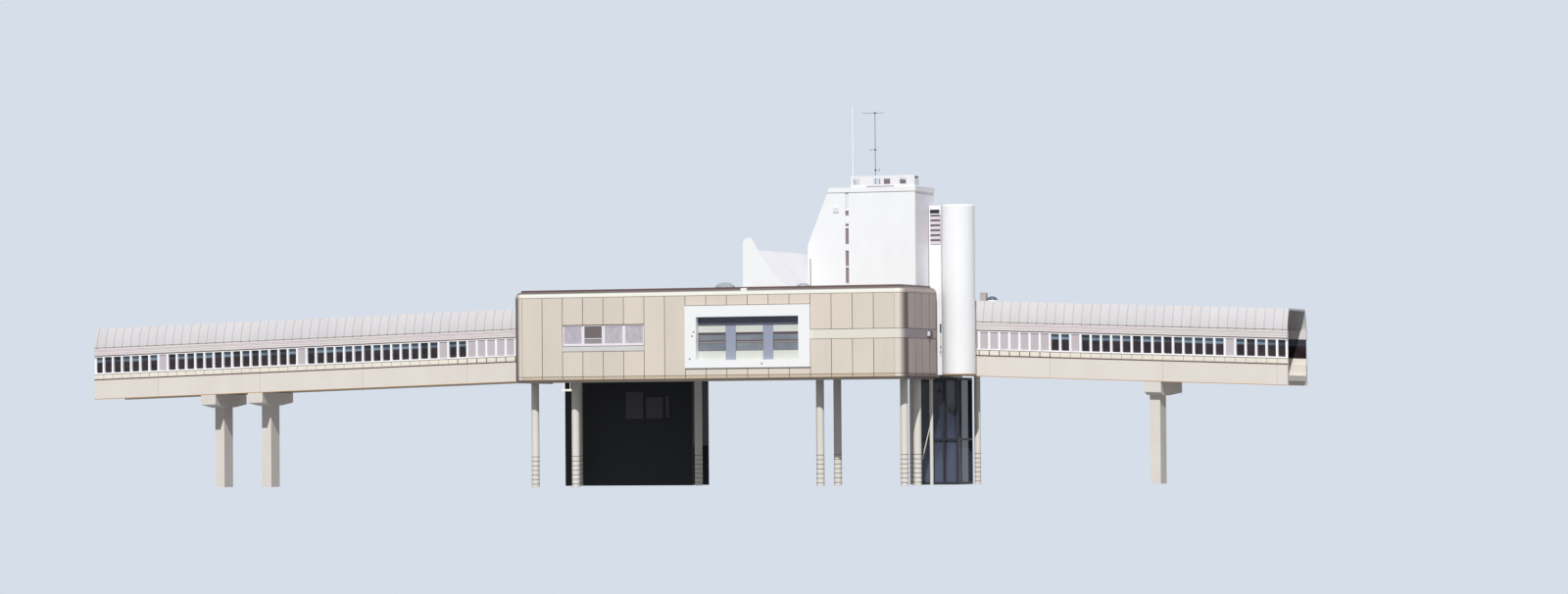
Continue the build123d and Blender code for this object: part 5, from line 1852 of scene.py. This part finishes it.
@dataclass(frozen=True)
class AirShafts:
    """Louvre shaft and round shaft at the right end."""

    shop: Workshop
    x: float = 12.065
    y: float = 3.12
    radius: float = 0.465
    foot: float = 3.1
    head: float = 7.895
    flats: int = 72
    rounding: float = 0.06
    rounding_steps: int = 5
    shaft_rim: float = 0.03
    base_edge: Span = (0.001, 0.026)
    base_edge_out: float = 0.003
    base_edge_rim: float = 0.012
    slot: Box = ((11.548, 2.955, 4.29), (11.592, 2.966, 4.54))
    slot_rim: float = 0.006
    slit: Box = ((11.562, 2.956, 3.62), (11.572, 2.966, 4.28))
    mark: Box = ((11.555, 2.954, 3.72), (11.585, 2.966, 3.78))
    mark_step: float = 0.13
    air_plate: Box = ((11.282, 2.953, 7.656), (11.562, 2.964, 7.765))
    backing: Box = ((11.289, 2.953, 6.785), (11.587, 2.964, 7.625))
    backing_rim: float = 0.01
    slat: Box = ((11.292, 2.94, 6.787), (11.584, 2.954, 6.872))
    slats: int = 6
    slat_step: float = 0.1397
    slat_lean: float = 0.009

    def round_shaft(self) -> None:
        """Smooth round shaft with a rounded head and an ochre base edge."""
        shaft = drum("round_shaft", self.x, self.y, (self.foot, self.head), self.radius, self.flats)
        choose_faces(shaft, facing(UP))
        bpy.ops.mesh.bevel(offset=self.rounding, segments=self.rounding_steps, affect="EDGES")
        leave()
        inset(shaft, facing(DOWN), self.shaft_rim)
        self.shop.dress(smooth(shaft), SHELL_WHITE, Slot.WHITE,
                        "round_shaft_wall", "round_shaft_ends")
        low, high = self.base_edge
        ring = drum("round_shaft_base_edge", self.x, self.y, (self.foot + low, self.foot + high),
                    self.radius + self.base_edge_out, self.flats)
        inset(ring, facing(UP, DOWN), self.base_edge_rim)
        self.shop.dress(smooth(soften(ring, HAIR_EDGE)), OCHRE, Slot.DARK_TRIM)

    def shaft_slot(self) -> None:
        """Slot, slit and two marks beside the round shaft, and the air slot's plate."""
        slot = inset(block("slot", *self.slot), facing(FORWARD), self.slot_rim)
        slit = plate(*self.slit, HAIR_EDGE)
        marks = repeat(plate(*self.mark), 2, (0, 0, self.mark_step))
        parts = [soften(slot, HAIR_EDGE), slit, marks, plate(*self.air_plate)]
        self.shop.dress(merge("shaft_slot", parts), CHARCOAL, Slot.DARK_TRIM)

    def louvre(self) -> None:
        """Dark backing of the louvre, whose colour is painted shade behind the slats, and broad slats
        whose upper edges lean back.
        """
        backing = inset(block("louvre_backing", *self.backing), facing(FORWARD), self.backing_rim)
        self.shop.dress(backing, LOUVRE_SHADE, Slot.GREY_FRAME)
        _, near, low = self.slat[0]
        _, far, high = self.slat[1]
        slat = block("louvre_slats", *self.slat)
        move_points(slat, lambda point: point.z > (low + high) / 2 and point.y < (near + far) / 2,
                    (0.0, self.slat_lean, 0.0))
        slats = repeat(soften(slat), self.slats, (0, 0, self.slat_step))
        self.shop.dress(slats, LOUVRE_PALE, Slot.GREY_FRAME, "louvre_blades")

    def build(self) -> None:
        """Build and dress both shafts."""
        self.round_shaft()
        self.shaft_slot()
        self.louvre()
        self.shop.paint(SHELL_WHITE, "louvre_shaft")


@dataclass(frozen=True)
class Section:
    """Section of a line or cover along a walkway.

    It has its levels over the girder's underside, how far it stands out from the girder's face, and
    its thickness.
    """

    low: float
    high: float
    out: float
    thick: float


@dataclass(frozen=True)
class Walkway:
    """Ribs, covers and fine lines of one walkway bridge."""

    shop: Workshop
    name: str
    wall_x: float
    direction: int
    slope: float
    bays: int
    pitch: float
    rib_pitch: float
    opaque: tuple[int, ...]
    dark_posts: int
    front: float = 3.725
    back: float = 5.8
    rise: float = 0.59
    lean: float = 0.19
    bulge: float = 0.026
    rib_width: float = 0.016
    rib_proud: float = 0.011
    rib_start: float = 0.002
    rib_steps: int = 6
    mullion_width: float = 0.06
    post_width: float = 0.02
    mark_width: float = 0.022
    joint_width: float = 0.012
    girder_joint_width: float = 0.007
    girder_panel_bays: int = 11
    bar_edge: float = 0.0015
    bar_start: float = 0.002
    mullion: Section = Section(PANE_FOOT - 0.004, PANE_HEAD - 0.004, 0.0, 0.03)
    pane_rail: Section = Section(PANE_FOOT - 0.002, PANE_FOOT + 0.02, 0.004, 0.035)
    head_rail: Section = Section(PANE_HEAD - 0.034, PANE_HEAD - 0.01, 0.002, 0.03)
    infill_sheet: Section = Section(PANE_FOOT + 0.032, PANE_HEAD - 0.018, -0.022, 0.02)
    infill_margin: float = 0.029
    infill_rim: float = 0.012
    infill_sink: float = 0.002
    sill_line: Section = Section(SILL_TOP - 0.012, SILL_TOP + 0.022, 0.005, 0.03)
    head_line: Section = Section(PANE_HEAD - 0.01, PANE_HEAD + 0.02, 0.004, 0.03)
    sill_post: Section = Section(SILL_TOP + 0.022, PANE_FOOT - 0.03, 0.003, 0.02)
    roof_mark: Section = Section(ROOF_FOOT - 0.014, ROOF_FOOT + 0.012, 0.022, 0.02)
    sheet_joint: Section = Section(SILL_TOP + 0.03, PANE_FOOT - 0.01, -0.014, 0.01)
    roof_line: Section = Section(ROOF_FOOT - 0.01, ROOF_FOOT + 0.008, 0.014, 0.02)
    # Lines on the fascia are painted shadow of shallow grooves
    low_fascia_shadow_line: Section = Section(PANE_HEAD + 0.075, PANE_HEAD + 0.082, 0.003, 0.01)
    high_fascia_shadow_line: Section = Section(PANE_HEAD + 0.135, PANE_HEAD + 0.142, 0.003, 0.01)
    girder_joint: Section = Section(0.02, SILL_TOP - 0.01, 0.002, 0.01)
    base_line: Section = Section(0.0, 0.018, 0.004, 0.02)

    @property
    def length(self) -> float:
        """Length of the walkway from the hall's wall to its open end."""
        return self.bays * self.pitch

    def faces(self, side: Side, out: float, thick: float) -> Span:
        """Find the Y of a layer on one side, nearer one first.

        Args:
            side: long side that it lies on.
            out: how far its outer face stands out from the girder's face.
            thick: its thickness.

        Returns:
            Both Y places.
        """
        face = self.front if side is Side.FRONT else self.back
        outer = face + side.value * out
        inner = outer - side.value * thick
        return min(outer, inner), max(outer, inner)

    def bar(self, side: Side, section: Section) -> Piece:
        """Make a bar along the whole walkway that follows its slope.

        Args:
            side: long side that it lies on.
            section: its section.

        Returns:
            The bar.
        """
        near, far = self.faces(side, section.out, section.thick)
        end = self.wall_x + self.direction * self.length
        start = self.wall_x + self.direction * self.bar_start
        piece = block("bar", (min(start, end), near, GIRDER_BASE + section.low),
                      (max(start, end), far, GIRDER_BASE + section.high))
        move_points(piece, lambda point: abs(point.x - end) < NEAR,
                    (0.0, 0.0, -self.slope * self.length))
        return soften(piece, self.bar_edge)

    def posts(self, side: Side, section: Section, width: float, pitch: float,
              most: int = 1000) -> Piece:
        """Make upright strips at equal distances along the walkway.

        Args:
            side: long side that they lie on.
            section: their section.
            width: width of a strip.
            pitch: distance from one to the next.
            most: number of strips after which they stop.

        Returns:
            All strips as one piece.
        """
        near, far = self.faces(side, section.out, section.thick)
        middle = self.wall_x + self.direction * pitch
        fall = self.slope * pitch
        strip = plate((middle - width / 2, near, GIRDER_BASE + section.low - fall),
                      (middle + width / 2, far, GIRDER_BASE + section.high - fall),
                      min(SLIM_EDGE, width / 5))
        count = min(most, math.ceil(self.length / pitch) - 1)
        return repeat(strip, count, (self.direction * pitch, 0.0, -fall))

    def ribs(self, side: Side) -> list[Piece]:
        """Make the standing ribs that follow the bowed roof side.

        Args:
            side: long side that they lie on.

        Returns:
            All ribs as one piece.
        """
        foot = self.faces(side, 0.0, 0.0)[0]
        fall = self.slope * self.rib_pitch
        x = self.wall_x + self.direction * self.rib_pitch
        z = GIRDER_BASE + ROOF_FOOT - fall
        rib = block("rib", (x - self.rib_width / 2, foot - self.rib_proud, z),
                    (x + self.rib_width / 2, foot + self.rib_proud, z + self.rib_start))
        choose_faces(rib, facing(UP))
        last = 0.0
        for number in range(1, self.rib_steps + 1):
            share = number / self.rib_steps
            bow = 4 * self.bulge * share * (1 - share)
            reach = -side.value * (self.lean * share - bow)
            pull((0.0, reach - last, (self.rise - self.rib_start) / self.rib_steps))
            last = reach
        leave()
        count = math.ceil(self.length / self.rib_pitch) - 1
        return [repeat(tidy_shell(rib), count, (self.direction * self.rib_pitch, 0.0, -fall))]

    def mullions(self, side: Side) -> list[Piece]:
        """Make the white covers of the mullions, and the white rails under and over the panes.

        Args:
            side: long side that they lie on.

        Returns:
            The covers as one piece, and both rails.
        """
        covers = self.posts(side, self.mullion, self.mullion_width, self.pitch)
        return [covers, self.bar(side, self.pane_rail), self.bar(side, self.head_rail)]

    def infill(self, side: Side) -> list[Piece]:
        """Make the sheets in the opaque bays, a little behind the mullions.

        Args:
            side: long side that they lie on.

        Returns:
            One sheet for each bay.
        """
        section = self.infill_sheet
        near, far = self.faces(side, section.out, section.thick)
        half = self.pitch / 2 - self.infill_margin
        sheets = []
        for number in self.opaque:
            reach = (number + 0.5) * self.pitch
            middle = self.wall_x + self.direction * reach
            base = GIRDER_BASE - self.slope * reach
            sheet = block("sheet", (middle - half, near, base + section.low),
                          (middle + half, far, base + section.high))
            sheets.append(inset(sheet, facing(side.outward), self.infill_rim, -self.infill_sink))
        return sheets

    def dark_lines(self, side: Side) -> list[Piece]:
        """Make the dark lines over the sill and the panes, the posts and the marks at the roof.

        Args:
            side: long side that they lie on.

        Returns:
            One piece for each kind.
        """
        return [
            self.bar(side, self.sill_line),
            self.bar(side, self.head_line),
            self.posts(side, self.sill_post, self.post_width, self.pitch, self.dark_posts),
            self.posts(side, self.roof_mark, self.mark_width, self.rib_pitch),
        ]

    def brown_lines(self, side: Side) -> list[Piece]:
        """Brown joints between the sheets under the panes."""
        return [self.posts(side, self.sheet_joint, self.joint_width, self.pitch)]

    def grey_lines(self, side: Side) -> list[Piece]:
        """Make the grey lines at the roof's foot, on the fascia and down the girder. The lines on the
        fascia are painted shadow of its shallow grooves.

        Args:
            side: long side that they lie on.

        Returns:
            One piece for each kind.
        """
        pitch = self.girder_panel_bays * self.pitch
        return [
            self.bar(side, self.roof_line),
            self.bar(side, self.low_fascia_shadow_line),
            self.bar(side, self.high_fascia_shadow_line),
            self.posts(side, self.girder_joint, self.girder_joint_width, pitch),
        ]

    def girder_edge(self, side: Side) -> list[Piece]:
        """Ochre edge along the girder's underside."""
        return [self.bar(side, self.base_line)]

    def both_sides(self, name: str, parts: Callable[[Side], list[Piece]], finish: Finish,
                   slot: Slot, *replaced: str) -> None:
        """Merge the same parts of both long sides and dress them.

        Args:
            name: end of the piece's name.
            parts: method that makes the parts of one side.
            finish: their finish.
            slot: material slot of the record.
            replaced: CAD nodes that they stand for.
        """
        pieces = [piece for side in Side for piece in parts(side)]
        self.shop.dress(merge(f"{self.name}_{name}", pieces), finish, slot, *replaced)

    def build(self) -> None:
        """Build and dress the walkway's details."""
        # Ribs get a darker paint as painted shade of their sides
        self.both_sides("roof_ribs", self.ribs, RIB, Slot.ROOF_SHEET)
        self.both_sides("mullion_covers", self.mullions, FRAME_WHITE, Slot.WHITE_FRAME)
        self.both_sides("infill_sheets", self.infill, INFILL, Slot.SHEET, "walkway_opaque_panes")
        self.both_sides("dark_lines", self.dark_lines, LINE_DARK, Slot.DARK_TRIM)
        self.both_sides("brown_lines", self.brown_lines, LINE_BROWN, Slot.DARK_TRIM)
        self.both_sides("grey_lines", self.grey_lines, LINE_GREY, Slot.DARK_TRIM)
        self.both_sides("girder_edge", self.girder_edge, OCHRE, Slot.DARK_TRIM)


def build_walkways(shop: Workshop) -> None:
    """Build both walkways and finish their CAD nodes.

    Args:
        shop: the workshop.
    """
    near_bays = tuple(range(11))
    Walkway(shop, "left_walkway", wall_x=0.0, direction=-1, slope=LEFT_FALL, bays=51, pitch=LEFT_BAY,
            rib_pitch=0.283, opaque=(*near_bays, 13, 28, 43), dark_posts=12).build()
    Walkway(shop, "right_walkway", wall_x=HALL_RIGHT, direction=1, slope=RIGHT_FALL, bays=34,
            pitch=RIGHT_BAY, rib_pitch=0.265, opaque=(*near_bays, 13, 28), dark_posts=11).build()
    shop.paint(GIRDER, "left_walkway_girder", "right_walkway_girder")
    shop.paint(ROOF, "left_walkway_roof", "right_walkway_roof")
    shop.paint(FASCIA, "walkway_fascias")
    shop.paint(SILL, "walkway_sills")
    shop.paint(FRAME_WHITE, "walkway_window_frames")
    shop.paint(WALKWAY_GLASS, "walkway_glass")


@dataclass(frozen=True)
class Ground:
    """Columns with ring lines, piers, lobby and stair enclosure."""

    shop: Workshop
    radius: float = 0.112
    flats: int = 40
    end_rim: float = 0.02
    rings: int = 7
    ring_step: float = 0.13
    ring_levels: Span = (0.085, 0.099)
    ring_proud: float = 0.003
    ring_rim: float = 0.01
    places: tuple[Span, ...] = (
        (0.0, 0.92), (1.24875, 0.92), (8.685, 0.92), (11.1825, 0.92), (8.685, 2.33), (11.1825, 2.014),
        (0.0, 4.1), (3.749625, 4.1), (7.500375, 4.1), (10.33875, 4.1),
    )
    landing_place: Span = (12.034, 4.7625)
    landing_head: float = 3.196
    landing_radius: float = 0.09
    post_place: Span = (11.199, 3.17)
    post_radius: float = 0.051
    post_rim: float = 0.01
    post_flats: int = 24
    brace_foot: Triple = (10.92, 3.17, 0.72)
    brace_head: Triple = (11.16, 3.17, 1.66)
    brace_radius: float = 0.016
    brace_rim: float = 0.004
    brace_flats: int = 12
    lamp_place: Triple = (10.72, 2.3, 2.67)
    lamp_radius: float = 0.045
    lamp_stretch: float = 1.3
    lamp_flats: int = 20
    rod_foot: float = 2.72
    rod_radius: float = 0.006
    rod_flats: int = 8
    stair_face: Span = (4.49, 4.499)
    stair_pane_rim: float = 0.012
    stair_windows: tuple[tuple[Span, Span], ...] = (
        ((1.322, 1.872), (1.94, 2.732)), ((1.957, 2.488), (1.95, 2.57)), ((2.584, 2.684), (1.98, 2.6)),
    )

    def column(self, place: Span, head: float, radius: float) -> tuple[Piece, Piece]:
        """Make a round column and the ring lines at its foot.

        Args:
            place: X and Y of its middle.
            head: its upper end.
            radius: its radius.

        Returns:
            The column, and its rings as one piece.
        """
        column = drum("column", *place, (0.0, head), radius, self.flats)
        inset(column, facing(UP, DOWN), self.end_rim)
        ring = drum("ring", *place, self.ring_levels, radius + self.ring_proud, self.flats)
        rings = repeat(smooth(inset(ring, facing(UP, DOWN), self.ring_rim)), self.rings,
                       (0, 0, self.ring_step))
        return smooth(soften(column, SLIM_EDGE)), rings

    def columns(self) -> None:
        """All round columns, the slim end post and the ring lines."""
        pairs = [self.column(place, UNDERSIDE, self.radius) for place in self.places]
        pairs.append(self.column(self.landing_place, self.landing_head, self.landing_radius))
        post = drum("end_post", *self.post_place, (0.0, UNDERSIDE), self.post_radius,
                    self.post_flats)
        post = smooth(soften(inset(post, facing(UP, DOWN), self.post_rim)))
        columns = merge("round_columns", [*(column for column, _ in pairs), post])
        self.shop.dress(columns, COLUMN, Slot.CONCRETE, "hall_columns")
        rings = merge("column_rings", [rings for _, rings in pairs])
        self.shop.dress(rings, RING_DARK, Slot.DARK_TRIM)

    def brace(self) -> None:
        """Slim brace beside the end post."""
        foot, head = at(*self.brace_foot), at(*self.brace_head)
        way = head - foot
        clear_selection()
        bpy.ops.mesh.primitive_cylinder_add(vertices=self.brace_flats, radius=self.brace_radius,
                                            depth=way.length, location=(foot + head) / 2,
                                            rotation=way.to_track_quat("Z", "Y").to_euler())
        brace = settle(bpy.context.object, "end_brace")
        inset(brace, facing(way.normalized(), -way.normalized()), self.brace_rim)
        self.shop.dress(smooth(brace), COLUMN, Slot.CONCRETE)

    def hung_lamp(self) -> None:
        """Small lamp hung from the hall's underside."""
        x, y, _ = self.lamp_place
        middle = at(*self.lamp_place)
        rod = drum("rod", x, y, (self.rod_foot, UNDERSIDE), self.rod_radius, self.rod_flats)
        clear_selection()
        bpy.ops.mesh.primitive_uv_sphere_add(segments=self.lamp_flats, ring_count=self.lamp_flats // 2,
                                             radius=self.lamp_radius, location=middle)
        globe = resize(settle(bpy.context.object, "globe"), (1, 1, self.lamp_stretch), middle)
        self.shop.dress(smooth(merge("hung_lamp", [globe, rod])), SHELL_WHITE, Slot.WHITE)

    def stair_panes(self) -> None:
        """Three dark panes over the stair's windows."""
        near, far = self.stair_face
        panes = []
        for (left, right), (low, high) in self.stair_windows:
            pane = block("pane", (left, near, low), (right, far, high))
            panes.append(soften(inset(pane, facing(FORWARD), self.stair_pane_rim)))
        self.shop.dress(merge("stair_panes", panes), STAIR_PANE, Slot.GLASS, "stair_window_glass")

    def build(self) -> None:
        """Build and dress everything that stands on the ground."""
        self.columns()
        self.brace()
        self.hung_lamp()
        self.stair_panes()
        self.shop.paint(PIER, "walkway_piers")
        self.shop.paint(CHARCOAL, "lobby_frame")
        # The stair enclosure's near-black paint is painted shade
        self.shop.paint(STAIR_SHADE_SHEET, "stair_enclosure")
        self.shop.paint(LOBBY_GLASS, "lobby_glass")
        self.shop.paint(LAMP_GLASS, "soffit_lamp")


def direction(azimuth: float, height: float) -> Vector:
    """Find the direction from the building that an azimuth and a height give.

    Args:
        azimuth: degrees from straight ahead towards the right.
        height: degrees over the level.

    Returns:
        Direction of length 1.
    """
    turn, lift = math.radians(azimuth), math.radians(height)
    return Vector((math.sin(turn) * math.cos(lift), -math.cos(turn) * math.cos(lift), math.sin(lift)))


@dataclass(frozen=True)
class Studio:
    """Camera, floor, sun and sky."""

    target: Vector = field(default_factory=lambda: Vector((5.080, -2.981, 5.291)))
    distance: float = 150.0
    azimuth: float = 20.729
    elevation: float = -1.463
    roll: float = -0.429
    lens: float = 123.336
    far_clip: float = 1000.0
    floor_place: Triple = (0, -30, -0.002)
    floor_size: Triple = (700, 420, 1)
    floor_tone: tuple[float, float, float, float] = (0.70, 0.70, 0.71, 1.0)
    floor_glow: tuple[float, float, float, float] = (0.07, 0.07, 0.07, 1.0)
    floor_cuts: int = 3
    sun_azimuth: float = 16.0
    sun_height: float = 44.0
    sun_power: float = 3.35
    sun_angle: float = 0.6
    sky_power: float = 0.30
    sky_tint: Triple = (0.98, 1.0, 1.04)
    sky_seen: Colour = (214, 222, 233)

    def camera(self) -> None:
        """Place the camera where the photograph was taken from."""
        roll = math.radians(self.roll)
        turn = math.radians(self.azimuth)
        back = direction(self.azimuth, self.elevation)
        level_right = Vector((math.cos(turn), math.sin(turn), 0.0))
        right = level_right * math.cos(roll) + back.cross(level_right) * math.sin(roll)
        clear_selection()
        bpy.ops.object.camera_add()
        camera = bpy.context.object
        turned = Matrix((right, back.cross(right), back)).transposed().to_4x4()
        camera.matrix_world = Matrix.Translation(self.target + back * self.distance) @ turned
        camera.data.lens = self.lens
        camera.data.clip_end = self.far_clip
        bpy.context.scene.camera = camera

    def floor_material(self) -> bpy.types.Material:
        """Build a pale finish that throws less light up than it shows.

        Returns:
            The material.
        """
        graph = Graph("studio floor")
        path = graph.add("ShaderNodeLightPath")
        seen = graph.maths("SUBTRACT", 1.0, path.outputs["Is Diffuse Ray"])
        graph.surface(graph.blend(seen, self.floor_glow, self.floor_tone), 0.9, 0.1)
        return graph.material

    def floor(self) -> None:
        """Wide flat floor just under the building's feet."""
        clear_selection()
        bpy.ops.mesh.primitive_plane_add(size=1.0, location=self.floor_place, scale=self.floor_size)
        floor = settle(bpy.context.object, "studio_floor")
        choose_faces(floor)
        bpy.ops.mesh.subdivide(number_cuts=self.floor_cuts)
        leave()
        floor.data.materials.append(self.floor_material())

    def sun(self) -> None:
        """Sun from the front, a little from the right."""
        clear_selection()
        bpy.ops.object.light_add(type="SUN")
        sun = bpy.context.object
        toward = direction(self.sun_azimuth, self.sun_height)
        sun.rotation_euler = toward.to_track_quat("Z", "Y").to_euler()
        sun.data.energy = self.sun_power
        sun.data.angle = math.radians(self.sun_angle)

    def sky(self) -> None:
        """Even sky that lights the building softly and is seen as a pale backdrop."""
        world = bpy.data.worlds.new("studio sky")
        world.use_nodes = True
        tree = world.node_tree
        background = tree.nodes["Background"]
        path = tree.nodes.new("ShaderNodeLightPath")
        share = tree.nodes.new("ShaderNodeMix")
        share.data_type = "RGBA"
        share.inputs[6].default_value = (*(self.sky_power * tint for tint in self.sky_tint), 1.0)
        share.inputs[7].default_value = linear(self.sky_seen)
        seen = path.outputs["Is Camera Ray"]
        for ray in ("Is Glossy Ray", "Is Transmission Ray"):
            total = tree.nodes.new("ShaderNodeMath")
            total.operation = "ADD"
            total.use_clamp = True
            tree.links.new(seen, total.inputs[0])
            tree.links.new(path.outputs[ray], total.inputs[1])
            seen = total.outputs[0]
        tree.links.new(seen, share.inputs[0])
        tree.links.new(share.outputs[2], background.inputs["Color"])
        bpy.context.scene.world = world

    def build(self) -> None:
        """Set up the whole studio."""
        self.camera()
        self.floor()
        self.sun()
        self.sky()
        bpy.context.scene.view_settings.view_transform = "Standard"


def main() -> None:
    """Build every part of the scene in order, and log the body and each new piece's faces."""
    logging.basicConfig(level=logging.INFO, format="%(message)s")
    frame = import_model()
    shop = Workshop(frame)
    LOG.info("body %s", shop.body)
    Hall(shop).build()
    RibbonWindows(shop).build()
    BigWindow(shop).build()
    Masts(shop).build()
    RoofScreen(shop).build()
    Dome(shop, "large_dome", x=5.94, y=0.7, base=ROOF_LEVEL, radius=0.285, rise=0.155).build()
    Dome(shop, "small_dome", x=8.29, y=0.7, base=ROOF_LEVEL, radius=0.2, rise=0.095).build()
    Dome(shop, "hatch_dome", x=12.6, y=4.4875, base=5.177, radius=0.155, rise=0.11,
         finish=DOME_DARK).build()
    Tower(shop).build()
    AirShafts(shop).build()
    build_walkways(shop)
    Ground(shop).build()
    Studio().build()


if __name__ == "__main__":
    main()
